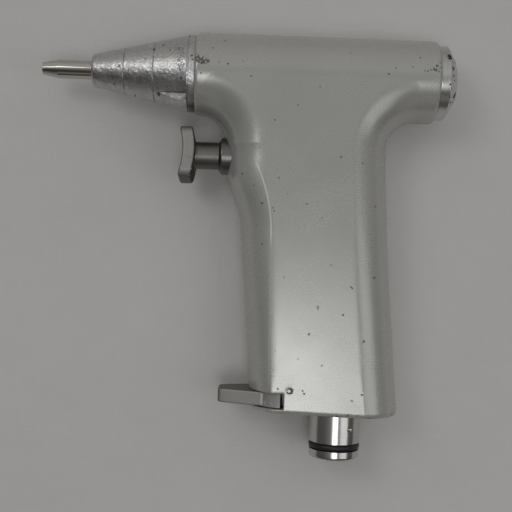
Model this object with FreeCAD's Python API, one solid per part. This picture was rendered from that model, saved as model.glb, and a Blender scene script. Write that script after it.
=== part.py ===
import FreeCAD, Part
import math
import os

# Pneumatic surgical wire driver, in millimetres.
# The origin is the centre of the nose tube's mouth, on the wire axis. +X runs back along the barrel,
# +Y is the top of the barrel, the grip hangs towards -Y, and +Z is up as the tool lies on its side.

Vector = FreeCAD.Vector
ORIGIN = Vector(0, 0, 0)
X_AXIS = Vector(1, 0, 0)
Y_AXIS = Vector(0, 1, 0)
Z_AXIS = Vector(0, 0, 1)

# Fits
SEAT_GAP = 0.03              # pieces that are pressed or screwed together
RUNNING_GAP = 0.05           # a shaft in its bore
FREE_GAP = 0.3               # pieces that pass without guiding each other

# Wire path
WIRE_BORE_RADIUS = 1.7
WIRE_TUBE_WALL = 0.45

# Nose tube, whose cup behind the cone's front holds the collet
NOSE_TUBE_RADIUS = 3.2
NOSE_TUBE_REACH = 17.4       # from its mouth to the cone
NOSE_TIP_RADIUS = 2.15
NOSE_TIP_TAPER = 5.4
NOSE_CUP_RADIUS = 6.5
NOSE_CUP_WALL = 1.0
NOSE_CUP_SETBACK = 13.6      # from the cone's front to the cup's floor

# Nose cone
CONE_LENGTH = 36.1
CONE_FRONT_RADIUS = 5.5
CONE_REAR_STEP = 1.05        # how much slimmer the cone's rear is than the barrel
CONE_EDGE_RADIUS = 1.3
CONE_LAND_LENGTH = 2.0
CONE_GROOVE_WIDTH = 0.6
CONE_GROOVE_DEPTH = 0.45
SCRIBED_RING_SETBACKS = (11.4, 21.8)
SCRIBED_RING_WIDTH = 0.4
SCRIBED_RING_DEPTH = 0.14
NOTCH_SETBACK = 22.2         # spanner notch, from the cone's front
NOTCH_LENGTH = 11.2
NOTCH_WALL_OFFSET = 7.8
NOTCH_WALL_LEAN_DEG = 12.0
NOTCH_FLOOR_DISTANCE = 8.7
NOTCH_TILT_DEG = 10.0
BUSHING_RADIUS = 4.8
BUSHING_LENGTH = 7.6
BUSHING_SETBACK = 1.0        # from the cone's front

# Barrel
BARREL_RADIUS = 14.25
BARREL_LENGTH = 82.9
BARREL_WALL = 1.75
BARREL_EDGE_RADIUS = 1.2

# Grip, measured back from its front edge at the trigger and down from the neck under the barrel
GRIP_SETBACK = 11.2          # from the barrel's front face
GRIP_REAR_SETBACK = 16.2     # from the barrel's rear face
GRIP_BOTTOM_DROP = 114.7     # below the wire axis, at the front edge
GRIP_BOTTOM_SLOPE_DEG = 1.1
GRIP_EDGE_RADIUS = 1.6
GRIP_SECTIONS = 12           # evenly spaced sections that the grip is lofted through
NECK_FILLET_RADIUS = 10.6    # in front of the grip and behind it
FILLET_BITE = 0.05           # how far each fillet's crest lies inside the barrel
BACK_ROUNDNESS = 0.9         # depth of the rounded back, in half widths
# Stations: drop from the neck, front edge, rear edge, half width, crease depth
GRIP_STATIONS = (
    (0.0, 0.0, 0.0, 14.15, 13.6),
    (8.0, 0.7, 0.3, 14.1, 13.0),
    (13.0, 1.6, 0.6, 14.05, 12.7),
    (18.4, 3.4, 1.0, 14.0, 12.2),
    (24.4, 5.7, 1.4, 13.95, 11.4),
    (34.4, 6.7, 2.1, 13.9, 10.2),
    (47.4, 7.9, 3.1, 13.85, 9.2),
    (62.4, 9.3, 4.5, 13.85, 8.2),
    (80.4, 10.8, 6.2, 13.9, 7.6),
    (93.4, 11.8, 7.5, 13.95, 7.4),
)

# Spindle, collet and its closer
SPINDLE_RADIUS = 4.0
COLLET_BORE_RADIUS = 1.6
COLLET_HEAD_RADIUS = 4.3
COLLET_SHANK_RADIUS = 3.0
COLLET_HEAD_LENGTH = 6.5
COLLET_LENGTH = 13.5
COLLET_SLIT = 0.5
CLOSER_TRAVEL = 1.2
CLOSER_LENGTH = 7.5
SPINDLE_FLANGE_LENGTH = 3.0
COLLET_SPRING_WIRE = 0.3
COLLET_SPRING_TURNS = 4

# Ball bearings
BALL_RADIUS = 1.2
BALL_COUNT = 7
BEARING_WIDTH = 4.0
BEARING_RING_THICKNESS = 1.3
RACE_SPACE = 1.9             # radial space between the two rings

# Planetary reduction
RING_GEAR_WALL = 2.195       # behind the roots of the ring gear's teeth
SUN_TEETH = 15
PLANET_TEETH = 12
PLANET_COUNT = 3
GEAR_FACE_WIDTH = 6.4
GEAR_ADDENDUM = 0.8          # in modules
GEAR_DEDENDUM = 1.05
PRESSURE_ANGLE_DEG = 25.0
BACKLASH = 0.08
FLANK_STEPS = 3
CARRIER_TIP_GAP = 0.35       # from the carrier's edge to the ring gear's teeth
CARRIER_PLATE = 2.0
PLANET_PIN_RADIUS = 1.0

# Vane motor
MOTOR_CYLINDER_WALL = 2.97   # where it is even all round
ROTOR_TIP_GAP = 0.2          # where the rotor comes nearest to the cylinder
ROTOR_JOURNAL_RADIUS = 4.25
ROTOR_OFFSET = 1.1           # the cylinder's bore axis below the rotor's
VANE_COUNT = 4
VANE_THICKNESS = 1.2
VANE_HEIGHT = 4.2
END_PLATE_LENGTH = 6.5
END_PLATE_WEB = 1.5          # between the rotor and its bearing

# Rear cap
CAP_RING_STEP = 1.5          # how much slimmer the cap's ring is than the barrel
CAP_RING_LENGTH = 3.4
CAP_CHAMFER_LENGTH = 3.1
CAP_FACE_RADIUS = 7.5
CAP_CROWN = 0.8
CAP_SPIGOT_LENGTH = 17.0
CAP_FLOOR = 3.0
CAP_NOTCH_WIDTH = 4.2
CAP_NOTCH_ANGLE_DEG = 45.0
CAP_NOTCH_DEPTH = 1.5
CAP_O_RING_SECTION = 0.8
CAP_O_RING_SETBACK = 3.0     # from the barrel's rear face
CAP_TUBE_RECESS = 1.2        # how far the wire tube ends inside the cap's face

# Trigger and throttle valve
TRIGGER_DROP = 28.3          # below the wire axis
TRIGGER_TRAVEL = 5.5
TRIGGER_ROLL_DEG = -10.0     # how far the pad is rolled about its stem at rest
STEM_RADIUS = 4.7
STEM_REACH = 10.3            # from the grip's front edge to the pad's back
PAD_HEIGHT = 18.0
PAD_WIDTH = 14.0
PAD_THICKNESS = 4.2
PAD_HOLLOW = 1.6
PAD_BACK_CROWN = 1.4
PAD_CORNER_RADIUS = 3.0
PAD_EDGE_RADIUS = 0.8
PAD_SOCKET_DEPTH = 2.0
COLLAR_RADIUS = 6.45
COLLAR_REACH = 1.7           # how far the collar stands out of the grip
COLLAR_LENGTH = 9.2
WIPER_RADIUS = 5.6
WIPER_REACH = 0.5
WIPER_STEP = 0.6             # how much slimmer the wiper is inside the collar
STEM_FLANGE_RADIUS = 5.8
STEM_FLANGE_LENGTH = 1.5
VALVE_CHAMBER_RADIUS = 5.2
VALVE_CHAMBER_WALL = 9.2     # from its end to the grip's rear edge
SEAT_SETBACK = 23.8
SEAT_LENGTH = 3.5
POPPET_ROD_RADIUS = 1.5
POPPET_HEAD_RADIUS = 3.9
POPPET_HEAD_LENGTH = 3.7
TRIGGER_SPRING_WIRE = 0.4
TRIGGER_SPRING_TURNS = 5

# Direction selector
SELECTOR_SETBACK = 24.0      # its pivot, from the grip's front edge
SELECTOR_DROP = 108.4        # the lever's upper face, below the wire axis
LEVER_THICKNESS = 4.8
LEVER_HUB_RADIUS = 12.7
LEVER_HUB_CORE_RADIUS = 7.5
LEVER_HUB_HALF_ANGLE_DEG = 80.0
LEVER_MOUTH_OFFSET = 1.0     # the slot is open to both sides ahead of this, from the pivot
LEVER_REACH = 23.5           # from the pivot to the tip
LEVER_TIP_HALF_WIDTH = 4.7
LEVER_ROOT_HALF_WIDTH = 9.8
LEVER_TIP_CORNER_RADIUS = 2.2
LEVER_EDGE_RADIUS = 0.6
SELECTOR_SWING_DEG = 30.0
SELECTOR_SPINDLE_RADIUS = 5.2
SELECTOR_SPINDLE_TOP = 86.0
SELECTOR_SPINDLE_LIP = 0.6   # its end stands above the grip's bottom by this
VALVE_SLEEVE_RADIUS = 7.5
VALVE_SLEEVE_FLOOR = 2.2     # casting left between the sleeve and the lever's slot
DETENT_DROP = 107.2
DETENT_OFFSET = 0.6
DETENT_PIN_RADIUS = 0.6
DETENT_GROOVE_DEPTH = 0.6
DETENT_PIN_RECESS = 0.35

# Hose connector, below the grip
CONNECTOR_SETBACK = 41.5     # its axis, from the grip's front edge
CONNECTOR_RADIUS = 8.7
CONNECTOR_END = 131.3
CONNECTOR_SPIGOT_RADIUS = 7.9
CONNECTOR_SPIGOT_TOP = 103.0
CONNECTOR_SHOULDER = 114.0
CONNECTOR_SEAT_RADIUS = 8.3  # inside the housing, down to the collar
CONNECTOR_COLLAR_DROP = 116.0
CONNECTOR_BORE_RADIUS = 5.3
CONNECTOR_EDGE_RADIUS = 1.0
O_RING_DROP = 127.0
O_RING_SECTION = 1.25
O_RING_OUTER_RADIUS = 8.86
DIMPLE_DROP = 120.5
DIMPLE_ANGLE_DEG = 31.0
DIMPLE_RADIUS = 1.0
DIMPLE_DEPTH = 0.9
NIPPLE_RADIUS = 3.47
NIPPLE_BORE_RADIUS = 2.6
NIPPLE_TOP = 92.0
NIPPLE_RECESS = 2.3
SCREEN_THICKNESS = 1.2

# Air passages
INLET_PASSAGE_RADIUS = 3.5
VALVE_PASSAGE_RADIUS = 2.5
MOTOR_PASSAGE_RADIUS = 2.0
PASSAGE_SPREAD = 8.0
EXHAUST_SETBACK = 11.0       # from the grip's rear edge
EXHAUST_RADIUS = 2.2

# Places that follow from the sizes above
CONE_FRONT = NOSE_TUBE_REACH
BARREL_FRONT = CONE_FRONT + CONE_LENGTH
BARREL_REAR = BARREL_FRONT + BARREL_LENGTH
BORE_RADIUS = BARREL_RADIUS - BARREL_WALL
CONE_REAR_RADIUS = BARREL_RADIUS - CONE_REAR_STEP
CAP_RING_RADIUS = BARREL_RADIUS - CAP_RING_STEP
INSERT_RADIUS = BORE_RADIUS - SEAT_GAP
GRIP_FRONT = BARREL_FRONT + GRIP_SETBACK
GRIP_DEPTH = BARREL_LENGTH - GRIP_SETBACK - GRIP_REAR_SETBACK
NECK_Y = -(BARREL_RADIUS - FILLET_BITE + NECK_FILLET_RADIUS)
BOTTOM_Y = -GRIP_BOTTOM_DROP

CUP_FLOOR = CONE_FRONT + NOSE_CUP_SETBACK
CUP_BORE_RADIUS = NOSE_CUP_RADIUS - NOSE_CUP_WALL
COLLET_FRONT = CUP_FLOOR + 2.5
COLLET_REAR = COLLET_FRONT + COLLET_LENGTH
CUP_REAR = COLLET_REAR + SPINDLE_FLANGE_LENGTH
SPINDLE_BEARING_FRONT = CUP_REAR + 1.0
CARRIER_FRONT = SPINDLE_BEARING_FRONT + BEARING_WIDTH + 1.5
GEAR_FRONT = CARRIER_FRONT + CARRIER_PLATE + FREE_GAP
GEAR_REAR = GEAR_FRONT + GEAR_FACE_WIDTH
CARRIER_REAR = GEAR_REAR + FREE_GAP + CARRIER_PLATE
PLATE_FRONT = CARRIER_REAR + FREE_GAP
CYLINDER_FRONT = PLATE_FRONT + END_PLATE_LENGTH
ROTOR_FRONT = CYLINDER_FRONT + FREE_GAP
CAP_FRONT = BARREL_REAR - CAP_SPIGOT_LENGTH
PLATE_REAR = CAP_FRONT - SEAT_GAP
CYLINDER_REAR = PLATE_REAR - END_PLATE_LENGTH
ROTOR_REAR = CYLINDER_REAR - FREE_GAP
ROTOR_LENGTH = ROTOR_REAR - ROTOR_FRONT
CYLINDER_BORE_RADIUS = INSERT_RADIUS - MOTOR_CYLINDER_WALL
ROTOR_RADIUS = CYLINDER_BORE_RADIUS - ROTOR_OFFSET - ROTOR_TIP_GAP
WIRE_TUBE_RADIUS = WIRE_BORE_RADIUS + WIRE_TUBE_WALL
CAP_RING_REAR = BARREL_REAR + CAP_RING_LENGTH
CAP_FACE = CAP_RING_REAR + CAP_CHAMFER_LENGTH
CAP_REAR = CAP_FACE + CAP_CROWN

RING_TEETH = SUN_TEETH + 2 * PLANET_TEETH
GEAR_MODULE = (INSERT_RADIUS - RING_GEAR_WALL) / (RING_TEETH / 2 + GEAR_DEDENDUM)
PLANET_ORBIT = GEAR_MODULE * (SUN_TEETH + PLANET_TEETH) / 2
CARRIER_RADIUS = GEAR_MODULE * (RING_TEETH / 2 - GEAR_ADDENDUM) - CARRIER_TIP_GAP

TRIGGER_Y = -TRIGGER_DROP
PAD_BACK = GRIP_FRONT - STEM_REACH
COLLAR_FRONT = GRIP_FRONT - COLLAR_REACH
COLLAR_REAR = COLLAR_FRONT + COLLAR_LENGTH
COLLAR_BORE_RADIUS = STEM_RADIUS + RUNNING_GAP
STEM_FLANGE_FRONT = COLLAR_REAR + FREE_GAP
STEM_REAR = STEM_FLANGE_FRONT + STEM_FLANGE_LENGTH
STEM_CHAMBER_REAR = STEM_REAR + TRIGGER_TRAVEL + FREE_GAP
VALVE_SEAT_FRONT = GRIP_FRONT + SEAT_SETBACK
VALVE_SEAT_REAR = VALVE_SEAT_FRONT + SEAT_LENGTH
POPPET_FRONT = VALVE_SEAT_REAR + FREE_GAP
POPPET_REAR = POPPET_FRONT + POPPET_HEAD_LENGTH
CHAMBER_REAR = GRIP_FRONT + GRIP_DEPTH - VALVE_CHAMBER_WALL

SELECTOR_X = GRIP_FRONT + SELECTOR_SETBACK
LEVER_BOTTOM = SELECTOR_DROP + LEVER_THICKNESS
POCKET_TOP = SELECTOR_DROP - FREE_GAP
POCKET_BOTTOM = LEVER_BOTTOM + FREE_GAP
CONNECTOR_X = GRIP_FRONT + CONNECTOR_SETBACK
EXHAUST_X = GRIP_FRONT + GRIP_DEPTH - EXHAUST_SETBACK


# Shared shapes

def corner_arc(before, corner, after, radius):
    """Start, middle and end of the arc that rounds one corner of a flat outline."""
    to_before = (before - corner).normalize()
    to_after = (after - corner).normalize()
    half_angle = to_before.getAngle(to_after) / 2
    bisector = (to_before + to_after).normalize()
    reach = radius / math.tan(half_angle)
    middle = corner + bisector * (radius / math.sin(half_angle) - radius)
    return corner + to_before * reach, middle, corner + to_after * reach


def outline(points):
    """Closed wire through flat points (a, b), or (a, b, radius) where the corner is rounded."""
    corners = [Vector(point[0], point[1], 0) for point in points]
    count = len(points)
    stretches = []
    for index, point in enumerate(points):
        if len(point) == 3:
            before = corners[index - 1]
            after = corners[(index + 1) % count]
            stretches.append(corner_arc(before, corners[index], after, point[2]))
        else:
            stretches.append((corners[index],))
    edges = []
    for index, stretch in enumerate(stretches):
        if len(stretch) == 3:
            edges.append(Part.Arc(*stretch).toShape())
        start = stretch[-1]
        end = stretches[(index + 1) % count][0]
        if start.distanceToPoint(end) > 1e-6:
            edges.append(Part.LineSegment(start, end).toShape())
    return Part.Wire(edges)


def turned(points):
    """Solid turned about the X axis from a profile of (x, radius) points."""
    return Part.Face(outline(points)).revolve(ORIGIN, X_AXIS, 360)


def rod(x_start, x_end, radius, y=0.0, z=0.0):
    """Round bar along X."""
    return Part.makeCylinder(radius, x_end - x_start, Vector(x_start, y, z), X_AXIS)


def ring(x_start, x_end, outer, inner):
    """Plain ring about the X axis."""
    return rod(x_start, x_end, outer).cut(rod(x_start - 1, x_end + 1, inner))


def post(drop_top, drop_bottom, radius, x, z=0.0):
    """Round bar along Y, between two depths below the wire axis."""
    return Part.makeCylinder(radius, drop_bottom - drop_top, Vector(x, -drop_bottom, z), Y_AXIS)


def hung(shape, x):
    """Puts a shape turned about the X axis upright, so that its X runs down from the wire axis."""
    placed = shape.copy()
    placed.rotate(ORIGIN, Z_AXIS, -90)
    placed.translate(Vector(x, 0, 0))
    return placed


def pattern(shape, count):
    """Copies of a shape, evenly spaced about the wire axis."""
    copies = []
    for index in range(count):
        copy = shape.copy()
        copy.rotate(ORIGIN, X_AXIS, 360.0 * index / count)
        copies.append(copy)
    return copies


def coil(x_start, x_end, radius, wire, turns):
    """Round-wire compression spring about the X axis."""
    length = x_end - x_start - 2 * wire
    helix = Part.makeHelix(length / turns, length, radius)
    section = Part.Wire(Part.makeCircle(wire, Vector(radius, 0, 0), Y_AXIS))
    spring = Part.Wire(helix.Edges).makePipeShell([section], True, True)
    spring.rotate(ORIGIN, Y_AXIS, 90)
    spring.translate(Vector(x_start + wire, 0, 0))
    return spring


# Housing

def back_depth(half_width):
    """How far the grip's rounded back reaches into it."""
    return BACK_ROUNDNESS * half_width


def front_edges(y, front, half_width, crease_depth):
    """Front of the grip at one height: one round arc that meets the flat sides at the creases."""
    far_crease = Vector(front + crease_depth, y, -half_width)
    near_crease = Vector(front + crease_depth, y, half_width)
    return [Part.Arc(far_crease, Vector(front, y, 0), near_crease).toShape()]


def back_edges(y, rear, half_width):
    """Back of the grip at one height, one round arc."""
    start = rear - back_depth(half_width)
    arc = Part.Arc(Vector(start, y, half_width), Vector(rear, y, 0), Vector(start, y, -half_width))
    return [arc.toShape()]


def grip_section(y, front, rear, half_width, crease_depth):
    """Closed section of the grip at one height."""
    crease_x = front + crease_depth
    back_x = rear - back_depth(half_width)
    near_side = Part.LineSegment(Vector(crease_x, y, half_width), Vector(back_x, y, half_width))
    far_side = Part.LineSegment(Vector(back_x, y, -half_width), Vector(crease_x, y, -half_width))
    return Part.Wire(front_edges(y, front, half_width, crease_depth) + [near_side.toShape()]
                     + back_edges(y, rear, half_width) + [far_side.toShape()])


def grip_bottom_cut():
    """Half space below the sloping bottom of the grip."""
    slab = Part.makeBox(3 * GRIP_DEPTH, 2 * GRIP_DEPTH, 4 * BARREL_RADIUS,
                        Vector(GRIP_FRONT - GRIP_DEPTH, BOTTOM_Y - 2 * GRIP_DEPTH, -2 * BARREL_RADIUS))
    slab.rotate(Vector(GRIP_FRONT, BOTTOM_Y, 0), Z_AXIS, -GRIP_BOTTOM_SLOPE_DEG)
    return slab


def station_slope(index, column):
    """Slope of one column of the stations, flat at its highs and lows so that no curve overshoots."""
    if index == 0 or index == len(GRIP_STATIONS) - 1:
        return 0.0
    before, here, after = GRIP_STATIONS[index - 1:index + 2]
    slope_before = (here[column] - before[column]) / (here[0] - before[0])
    slope_after = (after[column] - here[column]) / (after[0] - here[0])
    if slope_before * slope_after <= 0:
        return 0.0
    return 2 * slope_before * slope_after / (slope_before + slope_after)


def station_value(drop, column):
    """Smooth value of one column of the stations at a drop from the neck."""
    index = 0
    while index < len(GRIP_STATIONS) - 2 and drop > GRIP_STATIONS[index + 1][0]:
        index += 1
    low, high = GRIP_STATIONS[index], GRIP_STATIONS[index + 1]
    span = high[0] - low[0]
    share = (drop - low[0]) / span
    rise = share * share * (3 - 2 * share)
    start_pull = share * (1 - share) ** 2 * span * station_slope(index, column)
    end_pull = share * share * (share - 1) * span * station_slope(index + 1, column)
    return low[column] + (high[column] - low[column]) * rise + start_pull + end_pull


def grip_body():
    """Lofted grip, from the neck to its rounded bottom edge."""
    first = GRIP_STATIONS[0][0]
    last = GRIP_STATIONS[-1][0]
    sections = []
    for index in range(GRIP_SECTIONS):
        drop = first + (last - first) * index / (GRIP_SECTIONS - 1)
        front, rear, half_width, depth = [station_value(drop, column) for column in range(1, 5)]
        sections.append(grip_section(NECK_Y - drop, GRIP_FRONT + front, GRIP_FRONT + GRIP_DEPTH + rear,
                                     half_width, depth))
    grip = Part.makeLoft(sections, True)
    grip = grip.cut(grip_bottom_cut())
    bottom_edges = [edge for edge in grip.Edges if edge.BoundBox.YMax < BOTTOM_Y + 0.5]
    return grip.makeFillet(GRIP_EDGE_RADIUS, bottom_edges)


def neck_sweep(edges, edge_x, end_x, centre_x, turn):
    """One end of the neck: the front or back of the first section, turned up into the barrel."""
    half_width = GRIP_STATIONS[0][3]
    corners = [
        Vector(edge_x, NECK_Y, -half_width), Vector(end_x, NECK_Y, -half_width),
        Vector(end_x, NECK_Y, half_width), Vector(edge_x, NECK_Y, half_width),
    ]
    sides = [Part.LineSegment(start, end).toShape() for start, end in zip(corners, corners[1:])]
    profile = Part.Face(Part.Wire(Part.__sortEdges__(edges + sides)))
    swept = profile.revolve(Vector(centre_x, NECK_Y, 0), Z_AXIS, turn)
    above = Part.makeBox(4 * GRIP_DEPTH, 4 * BARREL_RADIUS, 4 * BARREL_RADIUS,
                         Vector(GRIP_FRONT - GRIP_DEPTH, -FILLET_BITE, -2 * BARREL_RADIUS))
    return swept.cut(above)


def neck():
    """Neck that joins the grip to the barrel."""
    half_width, crease_depth = GRIP_STATIONS[0][3:]
    rear = GRIP_FRONT + GRIP_DEPTH
    crease_x = GRIP_FRONT + crease_depth
    back_x = rear - back_depth(half_width)
    front = front_edges(NECK_Y, GRIP_FRONT, half_width, crease_depth)
    back = back_edges(NECK_Y, rear, half_width)
    middle = Part.makeBox(back_x - crease_x, -FILLET_BITE - NECK_Y, 2 * half_width,
                          Vector(crease_x, NECK_Y, -half_width))
    return middle.fuse([
        neck_sweep(front, crease_x, back_x, GRIP_FRONT - NECK_FILLET_RADIUS, 90),
        neck_sweep(back, back_x, crease_x, rear + NECK_FILLET_RADIUS, -90),
    ])


def barrel_body():
    """Barrel with rounded ends, before it is bored."""
    return turned([
        (BARREL_FRONT, 0), (BARREL_FRONT, BARREL_RADIUS, BARREL_EDGE_RADIUS),
        (BARREL_REAR, BARREL_RADIUS, BARREL_EDGE_RADIUS), (BARREL_REAR, 0),
    ])


def lever_pocket():
    """Slot in the grip's front that the selector's hub turns in."""
    clear_radius = LEVER_HUB_RADIUS + FREE_GAP
    front_half = post(POCKET_TOP, POCKET_BOTTOM, clear_radius, SELECTOR_X)
    limit = clear_radius * math.sin(math.radians(LEVER_HUB_HALF_ANGLE_DEG + SELECTOR_SWING_DEG - 90))
    rear_reach = limit + 2 * FREE_GAP
    behind = Part.makeBox(2 * clear_radius, LEVER_THICKNESS + 2, 4 * clear_radius,
                          Vector(SELECTOR_X + rear_reach, -POCKET_BOTTOM - 0.5, -2 * clear_radius))
    core = post(POCKET_TOP, POCKET_BOTTOM, LEVER_HUB_CORE_RADIUS + FREE_GAP, SELECTOR_X)
    mouth_rear = SELECTOR_X - LEVER_MOUTH_OFFSET
    mouth = Part.makeBox(3 * clear_radius, POCKET_BOTTOM - POCKET_TOP, 4 * clear_radius,
                         Vector(mouth_rear - 3 * clear_radius, -POCKET_BOTTOM, -2 * clear_radius))
    return front_half.cut(behind).fuse([core, mouth])


def housing_bores():
    """Everything that is bored out of the casting."""
    hub_x = SELECTOR_X
    passage_x = VALVE_SEAT_FRONT - 2 * VALVE_PASSAGE_RADIUS
    sleeve_hole = VALVE_SLEEVE_RADIUS + SEAT_GAP
    spigot_hole = CONNECTOR_SPIGOT_RADIUS + SEAT_GAP
    seat_hole = CONNECTOR_SEAT_RADIUS + SEAT_GAP
    return [
        rod(BARREL_FRONT - 1, BARREL_REAR + 1, BORE_RADIUS),
        rod(COLLAR_FRONT - 1, STEM_CHAMBER_REAR, COLLAR_RADIUS + SEAT_GAP, TRIGGER_Y),
        rod(COLLAR_REAR, CHAMBER_REAR, VALVE_CHAMBER_RADIUS, TRIGGER_Y),
        lever_pocket(),
        post(SELECTOR_SPINDLE_TOP - 1, POCKET_TOP + 1, SELECTOR_SPINDLE_RADIUS + RUNNING_GAP, hub_x),
        post(POCKET_BOTTOM - 1, 1.2 * CONNECTOR_END, SELECTOR_SPINDLE_RADIUS + RUNNING_GAP, hub_x),
        post(SELECTOR_SPINDLE_TOP - 1, POCKET_TOP - VALVE_SLEEVE_FLOOR, sleeve_hole, hub_x),
        post(CONNECTOR_SPIGOT_TOP - 3, 1.2 * CONNECTOR_END, spigot_hole, CONNECTOR_X),
        post(CONNECTOR_SHOULDER, 1.2 * CONNECTOR_END, seat_hole, CONNECTOR_X),
        post(TRIGGER_DROP, CONNECTOR_SPIGOT_TOP, INLET_PASSAGE_RADIUS, CONNECTOR_X),
        post(TRIGGER_DROP, SELECTOR_SPINDLE_TOP, VALVE_PASSAGE_RADIUS, passage_x),
        post(0, SELECTOR_SPINDLE_TOP + 8, MOTOR_PASSAGE_RADIUS, hub_x, PASSAGE_SPREAD),
        post(0, SELECTOR_SPINDLE_TOP + 8, MOTOR_PASSAGE_RADIUS, hub_x, -PASSAGE_SPREAD),
        post(0, CONNECTOR_SPIGOT_TOP - 1.5, EXHAUST_RADIUS, EXHAUST_X, PASSAGE_SPREAD),
        post(0, CONNECTOR_SPIGOT_TOP - 1.5, EXHAUST_RADIUS, EXHAUST_X, -PASSAGE_SPREAD),
        detent_rod(DETENT_PIN_RADIUS + SEAT_GAP, 0.0, 2 * BARREL_RADIUS),
    ]


def detent_rod(radius, z_start, z_end):
    """Round bar along Z that points at the selector spindle."""
    start = Vector(SELECTOR_X + DETENT_OFFSET, -DETENT_DROP, z_start)
    return Part.makeCylinder(radius, z_end - z_start, start, Z_AXIS)


def housing():
    """Barrel and grip, one casting."""
    casting = barrel_body().fuse([grip_body(), neck()])
    return casting.cut(housing_bores()).removeSplitter()


# Nose

def cone_radius(setback):
    """Outer radius of the cone at a distance behind its front face."""
    taper_length = CONE_LENGTH - CONE_LAND_LENGTH - CONE_GROOVE_WIDTH
    return CONE_FRONT_RADIUS + (CONE_REAR_RADIUS - CONE_FRONT_RADIUS) * setback / taper_length


def spanner_notch():
    """Cutter for one flat-bottomed notch in the cone, with a rounded front corner."""
    start = CONE_FRONT + NOTCH_SETBACK
    reach = 2 * CONE_REAR_RADIUS
    plan = outline([
        (start, -NOTCH_WALL_OFFSET, 1.5), (start + NOTCH_LENGTH, -NOTCH_WALL_OFFSET),
        (start + NOTCH_LENGTH, -reach), (start, -reach),
    ])
    prism = Part.Face(plan).extrude(Vector(0, 0, reach))
    prism.rotate(Vector(start, -NOTCH_WALL_OFFSET, NOTCH_FLOOR_DISTANCE), X_AXIS, -NOTCH_WALL_LEAN_DEG)
    below_floor = Part.makeBox(3 * NOTCH_LENGTH, 4 * reach, 2 * reach,
                               Vector(start - NOTCH_LENGTH, -2 * reach, NOTCH_FLOOR_DISTANCE - 2 * reach))
    below_floor.rotate(ORIGIN, X_AXIS, NOTCH_TILT_DEG)
    return prism.cut(below_floor)


def nose_cone():
    """Bare cone that screws into the barrel and carries the front bushing and the spindle bearing."""
    groove_front = BARREL_FRONT - CONE_LAND_LENGTH - CONE_GROOVE_WIDTH
    profile = [
        (CONE_FRONT, NOSE_TUBE_RADIUS + 0.4), (CONE_FRONT, CONE_FRONT_RADIUS, CONE_EDGE_RADIUS),
    ]
    for setback in SCRIBED_RING_SETBACKS:
        middle = setback + SCRIBED_RING_WIDTH / 2
        profile += [
            (CONE_FRONT + setback, cone_radius(setback)),
            (CONE_FRONT + middle, cone_radius(middle) - SCRIBED_RING_DEPTH),
            (CONE_FRONT + setback + SCRIBED_RING_WIDTH, cone_radius(setback + SCRIBED_RING_WIDTH)),
        ]
    land_radius = CONE_REAR_RADIUS + 0.15
    bearing_radius = spindle_bearing_outer_radius() + SEAT_GAP
    cavity_radius = NOSE_CUP_RADIUS + FREE_GAP
    bushing_seat = CONE_FRONT + BUSHING_SETBACK
    cavity_front = bushing_seat + BUSHING_LENGTH
    profile += [
        (groove_front, CONE_REAR_RADIUS),
        (groove_front, CONE_REAR_RADIUS - CONE_GROOVE_DEPTH),
        (groove_front + CONE_GROOVE_WIDTH, CONE_REAR_RADIUS - CONE_GROOVE_DEPTH),
        (groove_front + CONE_GROOVE_WIDTH, land_radius, 0.2),
        (BARREL_FRONT, land_radius),
        (BARREL_FRONT, INSERT_RADIUS),
        (CARRIER_FRONT - FREE_GAP, INSERT_RADIUS),
        (CARRIER_FRONT - FREE_GAP, bearing_radius),
        (SPINDLE_BEARING_FRONT, bearing_radius),
        (SPINDLE_BEARING_FRONT, cavity_radius),
        (CUP_FLOOR - 1.5, cavity_radius),
        (cavity_front, BUSHING_RADIUS + SEAT_GAP),
        (bushing_seat, BUSHING_RADIUS + SEAT_GAP),
        (bushing_seat, NOSE_TUBE_RADIUS + 0.4),
    ]
    cone = turned(profile)
    return cone.cut(pattern(spanner_notch(), 2))


def nose_bushing():
    """Bronze bushing that the nose tube turns in."""
    start = CONE_FRONT + BUSHING_SETBACK
    return ring(start, start + BUSHING_LENGTH, BUSHING_RADIUS, NOSE_TUBE_RADIUS + RUNNING_GAP)


def nose_tube():
    """Polished tube with a tapered tip, and a cup behind it that encloses the collet."""
    tube = turned([
        (0, WIRE_BORE_RADIUS), (0, NOSE_TIP_RADIUS), (NOSE_TIP_TAPER, NOSE_TUBE_RADIUS),
        (CUP_FLOOR - 3.2, NOSE_TUBE_RADIUS), (CUP_FLOOR - 1.5, NOSE_CUP_RADIUS - 0.8),
        (CUP_FLOOR, NOSE_CUP_RADIUS), (CUP_REAR, NOSE_CUP_RADIUS), (CUP_REAR, CUP_BORE_RADIUS),
        (CUP_FLOOR, CUP_BORE_RADIUS), (CUP_FLOOR, WIRE_BORE_RADIUS),
    ])
    return tube


def collet_radius(x):
    """Outer radius of the collet's tapered head."""
    share = (x - COLLET_FRONT) / COLLET_HEAD_LENGTH
    return COLLET_HEAD_RADIUS + (COLLET_SHANK_RADIUS - COLLET_HEAD_RADIUS) * share


def collet():
    """Three-jaw collet, slit from its head to near its rear."""
    head_rear = COLLET_FRONT + COLLET_HEAD_LENGTH
    body = turned([
        (COLLET_FRONT, COLLET_BORE_RADIUS), (COLLET_FRONT, COLLET_HEAD_RADIUS),
        (head_rear, COLLET_SHANK_RADIUS),
        (COLLET_REAR, COLLET_SHANK_RADIUS), (COLLET_REAR, COLLET_BORE_RADIUS),
    ])
    slit = Part.makeBox(COLLET_LENGTH - 3.0, 2 * COLLET_HEAD_RADIUS, COLLET_SLIT,
                        Vector(COLLET_FRONT - 1, 0, -COLLET_SLIT / 2))
    return body.cut(pattern(slit, 3))


def closer_front():
    """Front face of the collet closer at rest, with the jaws open."""
    return COLLET_FRONT + 2.5 + CLOSER_TRAVEL


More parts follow.
